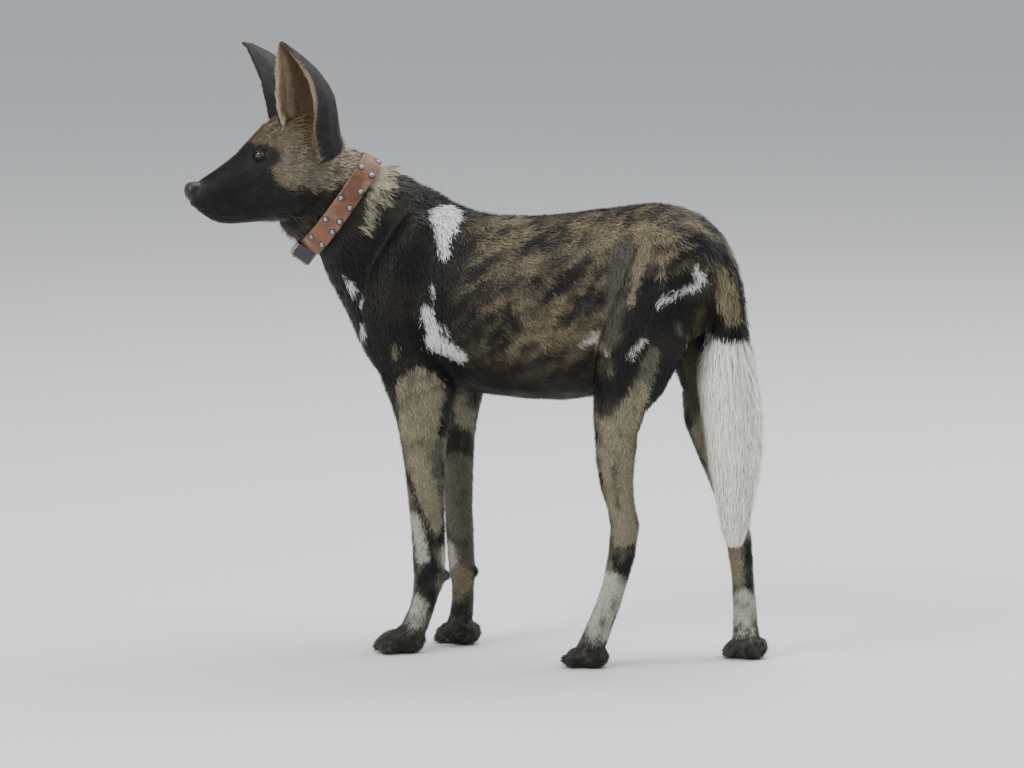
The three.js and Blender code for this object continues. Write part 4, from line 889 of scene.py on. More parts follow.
def relief_group():
    """Height of a surface with pebbles and finer grain."""
    group = bpy.data.node_groups.new("Relief", "ShaderNodeTree")
    add_socket(group, "Pebbles", "NodeSocketFloat", "INPUT", 500)
    add_socket(group, "Grain", "NodeSocketFloat", "INPUT", 2000)
    add_socket(group, "Pebble share", "NodeSocketFloat", "INPUT", 0.7)
    add_socket(group, "Height", "NodeSocketFloat", "OUTPUT")
    nodes, links = group.nodes, group.links
    given = nodes.new("NodeGroupInput")
    made = nodes.new("NodeGroupOutput")
    place = nodes.new("ShaderNodeTexCoord")
    cells = nodes.new("ShaderNodeTexVoronoi")
    cells.feature = "SMOOTH_F1"
    links.new(place.outputs["Object"], cells.inputs["Vector"])
    links.new(given.outputs["Pebbles"], cells.inputs["Scale"])
    grain = nodes.new("ShaderNodeTexNoise")
    links.new(place.outputs["Object"], grain.inputs["Vector"])
    links.new(given.outputs["Grain"], grain.inputs["Scale"])
    mixed = nodes.new("ShaderNodeMix")
    mixed.data_type = "FLOAT"
    links.new(given.outputs["Pebble share"], mixed.inputs["Factor"])
    links.new(grain.outputs["Fac"], mixed.inputs["A"])
    dome = nodes.new("ShaderNodeMath")
    dome.operation = "SUBTRACT"
    dome.inputs[0].default_value = 1
    links.new(cells.outputs["Distance"], dome.inputs[1])
    links.new(dome.outputs["Value"], mixed.inputs["B"])
    links.new(mixed.outputs["Result"], made.inputs["Height"])
    return group


MOTTLE = mottle_group()
RELIEF = relief_group()
print("groups:", [group.name for group in bpy.data.node_groups])

# %% [markdown]
# Every finish below is one principled shader fed by these groups. Colours that change over a piece are
# stored on its points as an attribute, so that skin and tufts carry exactly the same markings.

# %% Finishes
def finish(name, colour, mottle, relief=None, fixed=None):
    """A material. The colour is a name of a point attribute or a plain tone; mottle and relief hold the
    values for the shared groups, and fixed holds values that are the same all over."""
    material = bpy.data.materials.new(name)
    material.use_nodes = True
    nodes, links = material.node_tree.nodes, material.node_tree.links
    shader = nodes["Principled BSDF"]
    for socket, value in (fixed or {}).items():
        shader.inputs[socket].default_value = value
    varied = nodes.new("ShaderNodeGroup")
    varied.node_tree = MOTTLE
    for socket, value in mottle.items():
        varied.inputs[socket].default_value = value
    if isinstance(colour, str):
        stored = nodes.new("ShaderNodeAttribute")
        stored.attribute_name = colour
        links.new(stored.outputs["Color"], varied.inputs["Color"])
    else:
        varied.inputs["Color"].default_value = (*colour, 1)
    links.new(varied.outputs["Color"], shader.inputs["Base Color"])
    links.new(varied.outputs["Roughness"], shader.inputs["Roughness"])
    if relief:
        height = nodes.new("ShaderNodeGroup")
        height.node_tree = RELIEF
        bump = nodes.new("ShaderNodeBump")
        bump.inputs["Strength"].default_value = relief["Strength"]
        bump.inputs["Distance"].default_value = relief["Depth"]
        for socket in ("Pebbles", "Grain", "Pebble share"):
            height.inputs[socket].default_value = relief[socket]
        links.new(height.outputs["Height"], bump.inputs["Height"])
        links.new(bump.outputs["Normal"], shader.inputs["Normal"])
    return material


HAIR_MOTTLE = {"Scale": 260, "Darkest": 0.78, "Lightest": 1.22, "Smooth": 0.46, "Rough": 0.66}
HAIR_RELIEF = {"Pebbles": 450, "Grain": 1500, "Pebble share": 0.3, "Strength": 0.6, "Depth": 0.0008}
HAIR_SHINE = {"Sheen Weight": 0.02, "Specular IOR Level": 0.25}
short_coat = finish("short coat", "coat", HAIR_MOTTLE, HAIR_RELIEF, HAIR_SHINE)
hair_tufts = finish("hair tufts", "coat", HAIR_MOTTLE, None, HAIR_SHINE)
brush_hair = finish("brush hair", "coat",
                    {**HAIR_MOTTLE, "Scale": 90, "Darkest": 0.9, "Lightest": 1.06}, None,
                    {"Specular IOR Level": 0.35})


def paint(piece, name, colours):
    """Stores a colour for each point of a piece."""
    shade = piece.data.attributes.new(name, "FLOAT_COLOR", "POINT")
    rgba = np.ones((len(colours), 4), np.float32)
    rgba[:, :3] = colours
    shade.data.foreach_set("color", rgba.ravel())


def dressed(piece, material, slot, *nodes):
    """Gives a piece its finish, fixes it to the dog, and hides the solids that it stands for."""
    piece.data.materials.append(material)
    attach(piece, "root")
    if nodes:
        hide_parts(*nodes)
    return piece


# The skins are painted darker than the tufts' coat colour: painted shade between and under the tufts.
SKIN_SHADE = 0.72
paint(body_skin, "coat", body_colour(body_outer) * SKIN_SHADE)
head_on_ear = is_ear.astype(float)
paint(head_skin, "coat", head_colour(head_outer, head_normals, head_on_ear) * SKIN_SHADE)
dressed(body_skin, short_coat, "coat", *BODY_NODES[1:])
dressed(head_skin, short_coat, "coat", "head", "ear_left", "ear_right")
print("skins painted")

# %% [markdown]
# A tuft is a thin blade of hair: a pair of points at the root, more pairs along a bend, and one point at
# the tip. Its shading leans a little to either side, so that each reads as a round bundle of hairs. Each
# keeps the flat place of its root on an unwrap of the skin, for baking.

# %% Tufts
UNWRAP_ANGLE = 1.15
UNWRAP_MARGIN = 0.002
PATCH = 0.003
ROUND_LEAN = 0.45
SHORT_TAPER = (0.85, 1.0, 0.0)
LOCK_TAPER = (0.55, 1.0, 0.95, 0.75, 0.45, 0.0)
# Tufts are painted darker at the root and lighter at the tip: painted shade deep in the coat and painted
# light on the tips.
ROOT_SHADE = 0.68
TIP_SHADE = 1.12
FLOOR_GAP = 0.0003
COLLAR_PRESS = 0.2
COLLAR_PRESS_SPAN = (0.014, 0.040)


def unwrapped(points, squares):
    """The flat place of each square's corners."""
    piece = new_piece("unwrap", points, squares)
    bpy.ops.object.select_all(action="DESELECT")
    bpy.context.view_layer.objects.active = piece
    piece.select_set(True)
    bpy.ops.object.mode_set(mode="EDIT")
    bpy.ops.mesh.select_all(action="SELECT")
    bpy.ops.uv.smart_project(angle_limit=UNWRAP_ANGLE, island_margin=UNWRAP_MARGIN)
    bpy.ops.object.mode_set(mode="OBJECT")
    flat = np.empty(len(piece.data.loops) * 2, np.float32)
    piece.data.uv_layers.active.data.foreach_get("uv", flat)
    mesh = piece.data
    bpy.data.objects.remove(piece)
    bpy.data.meshes.remove(mesh)
    return flat.reshape(-1, 4, 2)


def scattered(points, squares, density, draw):
    """Roots spread evenly over squares: their corners, the corners' shares and their flat places."""
    flat = unwrapped(points, squares)
    corners = np.concatenate([squares[:, [0, 1, 2]], squares[:, [0, 2, 3]]])
    places = np.concatenate([flat[:, [0, 1, 2]], flat[:, [0, 2, 3]]])
    sides = points[corners]
    areas = np.linalg.norm(np.cross(sides[:, 1] - sides[:, 0], sides[:, 2] - sides[:, 0]), axis=1) / 2
    total = np.cumsum(areas * density[corners].mean(axis=1))
    count = int(total[-1])
    marks = np.arange(count) + draw.random(count)
    chosen = np.minimum(np.searchsorted(total, marks), len(corners) - 1)
    first, second = draw.random((2, count))
    over = first + second > 1
    first, second = np.where(over, 1 - first, first), np.where(over, 1 - second, second)
    shares = np.stack([1 - first - second, first, second], axis=1)
    return corners[chosen], shares, np.einsum("ij,ijk->ik", shares, places[chosen])


def at_roots(values, corners, shares):
    """A value of the skin's points, blended at each root."""
    if values.ndim == 1:
        return np.sum(values[corners] * shares, axis=1)
    return np.einsum("ij,ijk->ik", shares, values[corners])


def blades(name, roots, middles, tips, faces, widths, colours, patches, taper, root_shade=ROOT_SHADE,
           lean=ROUND_LEAN):
    """One mesh of many blades, each bent from its root past its middle to its tip."""
    pairs = len(taper) - 1
    size = 2 * pairs + 1
    count = len(roots)
    side = unit(np.cross(faces, tips - roots))
    points = np.empty((count, size, 3))
    leans = np.empty((count, size, 3))
    shades = np.empty((count, size, 3))
    flats = np.empty((count, size, 2))
    for k in range(pairs + 1):
        t = k / pairs
        centre = (1 - t) ** 2 * roots + 2 * t * (1 - t) * middles + t * t * tips
        half = side * (widths * taper[k] / 2)[:, None]
        for c, way in enumerate((-1, 1) if k < pairs else (0,)):
            points[:, 2 * k + c] = centre + way * half
            leans[:, 2 * k + c] = unit(faces + side * way * lean)
            # Painted shade at the root, painted light at the tip.
            shades[:, 2 * k + c] = colours * (root_shade + (TIP_SHADE - root_shade) * t)
            flats[:, 2 * k + c] = patches + np.array([way / 2, t - 0.5]) * PATCH
    pattern = []
    for k in range(pairs - 1):
        pattern += [(2 * k, 2 * k + 3, 2 * k + 1), (2 * k, 2 * k + 2, 2 * k + 3)]
    pattern.append((size - 3, size - 1, size - 2))
    points[:, :, 2] = np.maximum(points[:, :, 2], FLOOR_GAP)
    triangles = (np.arange(count)[:, None, None] * size + np.array(pattern)).reshape(-1, 3)
    piece = new_piece(name, points.reshape(-1, 3), triangles)
    paint(piece, "coat", shades.reshape(-1, 3))
    layer = piece.data.uv_layers.new(name="OFBake")
    layer.data.foreach_set("uv", flats.reshape(-1, 2)[triangles.ravel()].astype(np.float32).ravel())
    piece.data.normals_split_custom_set_from_vertices(leans.reshape(-1, 3))
    print(name, count, "tufts,", len(triangles), "triangles")
    return piece


# %% [markdown]
# Short tufts lie almost flat. Their direction wanders a little from place to place, so that the coat
# breaks into soft clumps, and the fringe of one colour falls raggedly over the next. Roots are sunk in
# the skin and tips reach the outer face of the coat.

# %% Short coat
ROOT_SINK = 0.0004
WANDER_CELL = 0.014
WANDER = 1.1
STRAY = 0.22
TONE_SPREAD = 0.22
SIDE_BEND = 0.12
TUFT_WIDTHS = (0.0006, 0.0014)
BORDER_STRAY = 0.0022
TRUNK_LIFT = 0.07
LEG_LIFT = 0.11


def short_tufts(name, skin, keep, cover, narrow, lift, seed, colour_of, lie_of):
    """Grows short tufts on part of a skin. The skin is its points, outer face, normals, depth and squares."""
    draw = np.random.default_rng(seed)
    points, outer, normals, depth, squares = skin
    _, sizes = lie_of(outer, normals)
    widths = np.clip(sizes * narrow, *TUFT_WIDTHS)
    density = cover / (sizes * widths)
    corners, shares, patches = scattered(points, squares[keep], density, draw)
    roots, faces = at_roots(points, corners, shares), unit(at_roots(normals, corners, shares))
    surface, deep = at_roots(outer, corners, shares), at_roots(depth, corners, shares)
    runs, sizes = lie_of(surface, faces)
    count = len(roots)
    turn = WANDER * (clouds(surface, WANDER_CELL, seed) - 0.5) + STRAY * draw.standard_normal(count)
    runs = unit(runs - faces * np.sum(runs * faces, axis=1, keepdims=True))
    across = np.cross(faces, runs)
    runs = runs * np.cos(turn)[:, None] + across * np.sin(turn)[:, None]
    sizes = sizes * draw.uniform(0.75, 1.2, count)
    rise = deep * draw.uniform(0.35, 1.1, count) + sizes * lift * abs(draw.standard_normal(count))
    rise *= COLLAR_PRESS + (1 - COLLAR_PRESS) * ramp(abs(past_collar(surface)), *COLLAR_PRESS_SPAN)
    bend = across * (sizes * SIDE_BEND * draw.standard_normal(count))[:, None]
    base = roots - faces * ROOT_SINK
    middles = roots + runs * (sizes * 0.5)[:, None] + faces * (rise * 0.95)[:, None] + bend * 0.5
    tips = roots + runs * sizes[:, None] + faces * rise[:, None] - bend
    spot = surface + draw.normal(0, BORDER_STRAY, (count, 3))
    colours = colour_of(spot, faces) * draw.uniform(1 - TONE_SPREAD, 1 + TONE_SPREAD, count)[:, None]
    return blades(name, base, middles, tips, faces, np.clip(sizes * narrow, *TUFT_WIDTHS), colours, patches,
                  SHORT_TAPER)


body_surface = (body_points, body_outer, body_normals, body_depth, body_faces)
centres = body_outer[body_faces].mean(axis=1)
brush_faces = in_brush[body_faces].any(axis=1)
trunk_faces = (centres[:, 2] > 0.42) & ~brush_faces & (past_collar(centres) < 0)
leg_faces = (centres[:, 2] <= 0.42) & ~brush_faces & (centres[:, 2] > 0.004)
BODY_REGIONS = {
    "coat_trunk_left": (trunk_faces & (centres[:, 1] < 0), 3.2, 0.115, TRUNK_LIFT, 101),
    "coat_trunk_right": (trunk_faces & (centres[:, 1] >= 0), 2.6, 0.115, TRUNK_LIFT, 102),
    "coat_legs_front": (leg_faces & (centres[:, 0] < 0.06), 1.9, 0.12, LEG_LIFT, 103),
    "coat_legs_hind": (leg_faces & (centres[:, 0] >= 0.06), 1.9, 0.12, LEG_LIFT, 104),
}
for name, (chosen, cover, narrow, lift, seed) in BODY_REGIONS.items():
    tufts = short_tufts(name, body_surface, chosen, cover, narrow, lift, seed,
                        lambda spot, faces: body_colour(spot), lambda spot, faces: body_lie(spot))
    dressed(tufts, hair_tufts, "coat")

# %% [markdown]
# The head's tufts are the smallest. They are left out round the eyes and nostrils, where the real
# hair is barely a millimetre long. The ears have a coat of their own, with a longer pale fringe
# down the front rim and at the root.

# %% Coat of the head
def head_tufts(name, keep, cover, narrow, lift, seed, ear_share):
    """Short tufts on the head or on the ears."""
    skin = (head_points, head_outer, head_normals, head_depth, head_faces)
    return short_tufts(
        name, skin, keep, cover, narrow, lift, seed,
        lambda spot, faces: head_colour(spot, faces, np.full(len(spot), ear_share)),
        lambda spot, faces: head_lie(spot, faces, np.full(len(spot), ear_share)),
    )


ear_faces = is_ear[head_faces].all(axis=1)
centres = head_outer[head_faces].mean(axis=1)
local = in_head(centres)
eye_gap = np.minimum(*(np.linalg.norm(local - EYE_CENTRE * [1, side, 1], axis=1) for side in (1, -1)))
bare = (eye_gap < EYE_RADIUS + 2.2) | (past_collar(centres) < 0)
bare |= np.linalg.norm(local - NOSE_CENTRE, axis=1) < 20
share, place, _, _ = ear_frame(local)
fringe = ear_faces & ((place < -0.72) | (place > 0.94)) & (share < 0.85)
dressed(head_tufts("coat_head", ~ear_faces & ~bare, 3.2, 0.13, 0.15, 111, 0.0), hair_tufts, "coat")
dressed(head_tufts("coat_ears", ear_faces, 1.3, 0.15, 0.08, 112, 1.0), hair_tufts, "ear_coat")
dressed(head_tufts("coat_ear_fringe", fringe, 4.5, 0.07, 0.14, 113, 1.0), hair_tufts, "ear_coat")

# %% [markdown]
# The tail's brush is long white hair. It grows from the slim core in many fine locks that swing out to
# the brush's outline and fall to a ragged end. Locks start at all heights, so that upper ones lie over
# lower ones. A second layer of thin wisps stands proud of them and makes the outline soft.

# %% Brush of the tail
BRUSH_LOCKS = 21000
BRUSH_WISPS = 15000
BRUSH_END = 0.184
BRUSH_RAGGED = 0.044
BRUSH_TWIST = 0.24
BRUSH_ROOT_LOW = 0.485
BRUSH_ROOT_HIGH = 0.502
BRUSH_BORDER = 0.024
BRUSH_BORDER_CELL = 0.009
BRUSH_BORDER_SEED = 120
TAIL_MIDDLE = (0.385, 0.027)
TAIL_REACH = (0.05, 0.04)
BRUSH_WAVE = 0.0035
# The brush's locks are painted a little darker at the root than at the tip: painted shade inside the brush.
BRUSH_ROOT_SHADE = 0.94
BRUSH_LEAN = 0.22
WISP_TAPER = (0.6, 1.0, 0.6, 0.0)


def brush_place(heights, angles, share):
    """A point of the brush at a height, round its middle, at a share of its reach."""
    x, y, deep, wide = brush_at(heights)
    return np.stack([x + deep * share * np.cos(angles), y + wide * share * np.sin(angles), heights], axis=1)


def brush_layer(name, count, fall, reach, width, taper, seed):
    """Long hair from the core out to the brush's outline. Fall, reach and width are least and most."""
    draw = np.random.default_rng(seed)
    near_tail = abs(body_outer[:, 0] - TAIL_MIDDLE[0]) < TAIL_REACH[0]
    near_tail &= abs(body_outer[:, 1] - TAIL_MIDDLE[1]) < TAIL_REACH[1]
    ragged = clouds(body_outer, BRUSH_BORDER_CELL, BRUSH_BORDER_SEED) - 0.5
    highest = BRUSH_ROOT_HIGH + BRUSH_BORDER * ragged
    rooted = in_brush | (near_tail & (body_outer[:, 2] < highest) & (body_outer[:, 2] > BRUSH_ROOT_LOW))
    squares = body_faces[rooted[body_faces].all(axis=1)]
    weight = np.interp(body_points[:, 2], [0.22, 0.30, 0.47, 0.50], [0.5, 1.0, 1.0, 1.1])
    sides = body_points[squares]
    area = np.linalg.norm(np.cross(sides[:, 2] - sides[:, 0], sides[:, 3] - sides[:, 1]), axis=1).sum() / 2
    corners, shares, patches = scattered(body_points, squares, weight * count / area, draw)
    roots, faces = at_roots(body_points, corners, shares), at_roots(body_normals, corners, shares)
    count = len(roots)
    x, y, deep, wide = brush_at(roots[:, 2])
    angles = np.arctan2((roots[:, 1] - y) / wide, (roots[:, 0] - x) / deep)
    swing = draw.uniform(*reach, count)
    twist = draw.normal(0, BRUSH_TWIST, count) + 1.2 * (clouds(roots, 0.03, seed) - 0.5)
    lowest = BRUSH_END + BRUSH_RAGGED * draw.random(count) ** 1.5
    end = np.maximum(roots[:, 2] - draw.uniform(*fall, count), lowest)
    middle = roots[:, 2] - 0.42 * (roots[:, 2] - end)
    middles = brush_place(middle, angles + twist, swing * 1.04) + draw.normal(0, BRUSH_WAVE, (count, 3))
    tips = brush_place(end, angles - twist * 0.6, swing * draw.uniform(0.80, 1.0, count))
    tips = tips + draw.normal(0, BRUSH_WAVE, (count, 3)) * [1, 1, 0.3]
    faced = unit(np.stack([np.cos(angles), np.sin(angles), np.full(count, 0.15)], axis=1))
    # Tips low in the brush are blended towards beige: painted warm light on the bottom of the brush.
    painted_warm_light = ramp(-tips[:, 2], -0.34, -0.20)
    colours = blended(np.tile(BRUSH_WHITE, (count, 1)), BEIGE, painted_warm_light * draw.uniform(0.0, 0.35, count))
    colours = colours * draw.uniform(0.88, 1.04, count)[:, None]
    return blades(name, roots - faces * ROOT_SINK, middles, tips, faced, draw.uniform(*width, count), colours,
                  patches, taper, BRUSH_ROOT_SHADE, BRUSH_LEAN)


locks = brush_layer("brush_locks", BRUSH_LOCKS, (0.070, 0.140), (0.45, 1.0),
                    (0.0020, 0.0042), LOCK_TAPER, 121)
dressed(locks, brush_hair, "tail_plume", "tail_brush")
wisps = brush_layer("brush_wisps", BRUSH_WISPS, (0.040, 0.100), (0.90, 1.08),
                    (0.0010, 0.0022), WISP_TAPER, 122)
dressed(wisps, brush_hair, "tail_plume")

# %% [markdown]
# The eye is what a viewer meets first. The ball has a clear bulge over the iris, as a real cornea has,
# and a wet coat. Its iris is amber-brown with fine rays and a dark outer ring. How far each point lies
# from the line of sight is stored on the ball, and a colour ramp turns that into pupil, iris and white.

# %% Eyes
EYE_RINGS = 40
EYE_SIDES = 56
CORNEA_ANGLE = 0.66
CORNEA_RISE = 0.9
EYE_SHRINK = 0.25
PUPIL_EDGE = 0.26
IRIS_EDGE = 0.60


def eye_axes(side):
    """Directions of one eye in the head's frame: across, up and along its look."""
    look = unit(EYE_LOOK * [1, side, 1])
    across = unit(np.cross([0, 0, 1], look))
    return across, np.cross(look, across), look


def eye_material():
    """A wet eye, coloured by the angle from the line of sight."""
    material = bpy.data.materials.new("wet eye")
    material.use_nodes = True
    nodes, links = material.node_tree.nodes, material.node_tree.links
    shader = nodes["Principled BSDF"]
    shader.inputs["Roughness"].default_value = 0.12
    shader.inputs["Coat Weight"].default_value = 1.0
    shader.inputs["Coat Roughness"].default_value = 0.03
    angle = nodes.new("ShaderNodeAttribute")
    angle.attribute_name = "sight_angle"
    rings = nodes.new("ShaderNodeValToRGB")
    stops = [
        (0.0, tone(8, 6, 6)), (PUPIL_EDGE, tone(10, 7, 6)), (PUPIL_EDGE + 0.03, tone(78, 48, 24)),
        (0.45, tone(104, 66, 34)), (IRIS_EDGE - 0.04, tone(62, 38, 20)), (IRIS_EDGE, tone(18, 12, 10)),
        (0.72, tone(60, 46, 40)), (1.0, tone(88, 70, 62)),
    ]
    for k, (place, colour) in enumerate(stops):
        stop = rings.color_ramp.elements[k] if k < 2 else rings.color_ramp.elements.new(place)
        stop.position = place
        stop.color = (*colour, 1)
    rays = nodes.new("ShaderNodeGroup")
    rays.node_tree = MOTTLE
    rays.inputs["Scale"].default_value = 1400
    rays.inputs["Darkest"].default_value = 0.65
    rays.inputs["Lightest"].default_value = 1.35
    links.new(angle.outputs["Fac"], rings.inputs["Fac"])
    links.new(rings.outputs["Color"], rays.inputs["Color"])
    links.new(rays.outputs["Color"], shader.inputs["Base Color"])
    return material


wet_eye = eye_material()


def eyeball(name, node, side):
    """A ball with a raised cornea, turned to look out of the head."""
    across, up, look = eye_axes(side)
    polar = np.linspace(0.0, math.pi, EYE_RINGS + 1)[1:-1]
    round_angle = np.arange(EYE_SIDES) * 2 * math.pi / EYE_SIDES
    rise = CORNEA_RISE * np.cos(np.clip(polar / CORNEA_ANGLE, 0, 1) * math.pi / 2) ** 2
    reach = EYE_RADIUS - EYE_SHRINK + rise
    ring = (reach * np.cos(polar))[:, None, None] * look
    ring = ring + (reach * np.sin(polar))[:, None, None] * (
        np.cos(round_angle)[None, :, None] * across + np.sin(round_angle)[None, :, None] * up)
    poles = np.array([look * (EYE_RADIUS - EYE_SHRINK + CORNEA_RISE), -look * (EYE_RADIUS - EYE_SHRINK)])
    points = np.concatenate([ring.reshape(-1, 3), poles]) + EYE_CENTRE * [1, side, 1]
    angles = np.concatenate([np.repeat(polar, EYE_SIDES), [0, math.pi]])
    faces = []
    for k in range(len(polar) - 1):
        for c in range(EYE_SIDES):
            near, far = k * EYE_SIDES + c, k * EYE_SIDES + (c + 1) % EYE_SIDES
            faces += [(near, near + EYE_SIDES, far + EYE_SIDES), (near, far + EYE_SIDES, far)]
    last = (len(polar) - 1) * EYE_SIDES
    for c in range(EYE_SIDES):
        faces.append((len(points) - 2, c, (c + 1) % EYE_SIDES))
        faces.append((len(points) - 1, last + (c + 1) % EYE_SIDES, last + c))
    ball = new_piece(name, from_head(points), np.array(faces))
    sight = ball.data.attributes.new("sight_angle", "FLOAT", "POINT")
    sight.data.foreach_set("value", (angles / 1.2).clip(0, 1).astype(np.float32))
    return dressed(ball, wet_eye, "eye", node)


eyes = [eyeball("eyeball_left", "eye_left", 1), eyeball("eyeball_right", "eye_right", -1)]
print("eyes", [len(ball.data.vertices) for ball in eyes], "points")

# %% [markdown]
# Lids are folds of dark hairless skin along an almond opening. Each rim is a soft tube that follows the
# almond on the ball, thicker above than below, drawn out to a point at the front corner.

# %% Lids
FRONT_CORNER = (-14.0, -2.6)
REAR_CORNER = (12.0, 2.2)
UPPER_ARCH = 9.6
LOWER_ARCH = 8.2
RIM_STEPS = 26
RIM_SIDES = 10
UPPER_RIM = 1.35
LOWER_RIM = 1.0
RIM_RISE = 0.9
dark_skin = finish("bare dark skin", tone(24, 20, 20),
                   {"Scale": 900, "Darkest": 0.7, "Lightest": 1.4, "Smooth": 0.28, "Rough": 0.5},
                   {"Pebbles": 1200, "Grain": 3500, "Pebble share": 0.5, "Strength": 0.5, "Depth": 0.0003},
                   {"Coat Weight": 0.25, "Coat Roughness": 0.25})


def swept(name, path, radii, sides, closed):
    """A tube along a path of points, with its own radius at each."""
    path, radii = np.asarray(path), np.asarray(radii)
    if closed:
        run = unit(np.roll(path, -1, axis=0) - np.roll(path, 1, axis=0))
    else:
        run = unit(np.gradient(path, axis=0))
    middle = path.mean(axis=0)
    side = unit(np.cross(run, path - middle + [0, 0, 1e-9]))
    over = np.cross(side, run)
    angles = np.arange(sides) * 2 * math.pi / sides
    ring = path[:, None, :] + radii[:, None, None] * (
        np.cos(angles)[None, :, None] * side[:, None, :] + np.sin(angles)[None, :, None] * over[:, None, :])
    rows = len(path)
    faces = []
    for k in range(rows if closed else rows - 1):
        for c in range(sides):
            near, far = k * sides + c, k * sides + (c + 1) % sides
            ahead = ((k + 1) % rows) * sides
            faces.append((near, far, ahead + (c + 1) % sides, ahead + c))
    return ring.reshape(-1, 3), np.array(faces)


def lid_rims():
    """The rims of both eyes' lids as one piece."""
    points, faces = [], []
    for side in (1, -1):
        across, up, look = eye_axes(side)
        share = np.linspace(0, 1, RIM_STEPS, endpoint=False)
        bend = 2 * share * (1 - share)
        front, rear = np.array(FRONT_CORNER), np.array(REAR_CORNER)
        upper = ((1 - share)[:, None] ** 2 * front + share[:, None] ** 2 * rear
                 + bend[:, None] * [0, UPPER_ARCH])
        lower = ((1 - share)[:, None] ** 2 * rear + share[:, None] ** 2 * front
                 + bend[:, None] * [0, -LOWER_ARCH])
        almond = np.concatenate([upper, lower])
        reach = EYE_RADIUS + RIM_RISE
        deep = np.sqrt(np.maximum(reach ** 2 - np.sum(almond ** 2, axis=1), 4))
        path = look * deep[:, None] + side * across * almond[:, :1] + up * almond[:, 1:]
        path = path + EYE_CENTRE * [1, side, 1]
        taper = 0.45 + 0.55 * np.sin(math.pi * share) ** 0.6
        radii = np.concatenate([taper * UPPER_RIM, taper * LOWER_RIM])
        ring, quads = swept("lids", path, radii, RIM_SIDES, True)
        faces.append(quads + len(points) * len(ring))
        points.append(ring)
    return new_piece("lid_rims", from_head(np.concatenate(points)), np.concatenate(faces))


rims = dressed(lid_rims(), dark_skin, "nose_skin")
print("lid rims", len(rims.data.polygons), "faces")

# %% [markdown]
# The nose pad is black, moist and pebbled. It is shaped from a ball: blunt in front, split by a fine
# groove down the middle, with two comma-shaped nostrils that curl out and back. Each dent is a soft push
# inwards, which keeps the rounded wings that real nostrils have.

# %% Nose
NOSE_RADII = np.array([20.0, 16.2, 15.8])
NOSE_SQUARE = 2.5
NOSE_SLANT = 3.0
NOSE_RINGS = 90
NOSE_SIDES = 120
NOSTRIL_PATH = ((190.5, 6.0, -38.5), (189.5, 9.5, -36.0), (186.0, 13.5, -36.5), (180.0, 16.0, -39.0))
NOSTRIL_WIDTHS = (2.6, 3.4, 2.6, 1.6)
NOSTRIL_DEPTHS = (3.6, 5.2, 3.4, 1.2)
GROOVE_WIDTH = 1.3
GROOVE_DEPTH = 1.5
FRONT_BLUNT = 2.2
wet_nose = finish("wet nose", tone(10, 9, 11),
                  {"Scale": 350, "Darkest": 0.7, "Lightest": 1.5, "Smooth": 0.34, "Rough": 0.6},
                  {"Pebbles": 900, "Grain": 3000, "Pebble share": 0.85, "Strength": 0.8, "Depth": 0.0005},
                  {"Coat Weight": 0.15, "Coat Roughness": 0.25, "Specular IOR Level": 0.4})


def nose_pad():
    """The pad with its nostrils and groove, in the room."""
    polar = np.linspace(0, math.pi, NOSE_RINGS + 2)[1:-1]
    spin = np.arange(NOSE_SIDES) * 2 * math.pi / NOSE_SIDES
    ways = np.stack([
        np.repeat(np.cos(polar), NOSE_SIDES),
        np.outer(np.sin(polar), np.cos(spin)).ravel(),
        np.outer(np.sin(polar), np.sin(spin)).ravel(),
    ], axis=1)
    ways = np.concatenate([ways, [[1, 0, 0], [-1, 0, 0]]])
    squared = np.sum(abs(ways) ** NOSE_SQUARE, axis=1) ** (-1 / NOSE_SQUARE)
    points = NOSE_CENTRE + ways * squared[:, None] * NOSE_RADII
    points[:, 0] -= NOSE_SLANT * ramp(-ways[:, 2], -0.2, 1.0)
    points[:, 0] -= FRONT_BLUNT * ramp(ways[:, 0], 0.55, 1.0)
    points[:, 1] *= 1 - 0.10 * ramp(-ways[:, 2], 0.2, 1.0)
    groove = ((1 - ramp(abs(points[:, 1]), 0, GROOVE_WIDTH)) * ramp(ways[:, 0], 0.1, 0.4)
              * ramp(-ways[:, 2], -0.5, 0.2))
    push = GROOVE_DEPTH * groove
    for k in range(len(NOSTRIL_PATH) - 1):
        start, end = np.array(NOSTRIL_PATH[k]), np.array(NOSTRIL_PATH[k + 1])
        mirrored = points * [1, 0, 1] + abs(points) * [0, 1, 0]
        share = np.clip((mirrored - start) @ (end - start) / ((end - start) @ (end - start)), 0, 1)
        gap = np.linalg.norm(mirrored - start - share[:, None] * (end - start), axis=1)
        wide = NOSTRIL_WIDTHS[k] + (NOSTRIL_WIDTHS[k + 1] - NOSTRIL_WIDTHS[k]) * share
        deep = NOSTRIL_DEPTHS[k] + (NOSTRIL_DEPTHS[k + 1] - NOSTRIL_DEPTHS[k]) * share
        push = np.maximum(push, deep * (1 - ramp(gap, wide * 0.35, wide * 1.15)))
    points -= unit(ways / NOSE_RADII) * push[:, None]
    faces = []
    for k in range(NOSE_RINGS - 1):
        near = k * NOSE_SIDES + np.arange(NOSE_SIDES)
        far = k * NOSE_SIDES + (np.arange(NOSE_SIDES) + 1) % NOSE_SIDES
        faces.append(np.stack([near, near + NOSE_SIDES, far + NOSE_SIDES], axis=1))
        faces.append(np.stack([near, far + NOSE_SIDES, far], axis=1))
    first = np.arange(NOSE_SIDES)
    last = (NOSE_RINGS - 1) * NOSE_SIDES
    after = (first + 1) % NOSE_SIDES
    faces.append(np.stack([np.full(NOSE_SIDES, len(points) - 2), first, after], axis=1))
    faces.append(np.stack([np.full(NOSE_SIDES, len(points) - 1), last + after, last + first], axis=1))
    return new_piece("nose_pad", from_head(points), np.concatenate(faces))


nose = dressed(nose_pad(), wet_nose, "nose_skin", "nose")
print("nose", len(nose.data.polygons), "faces")
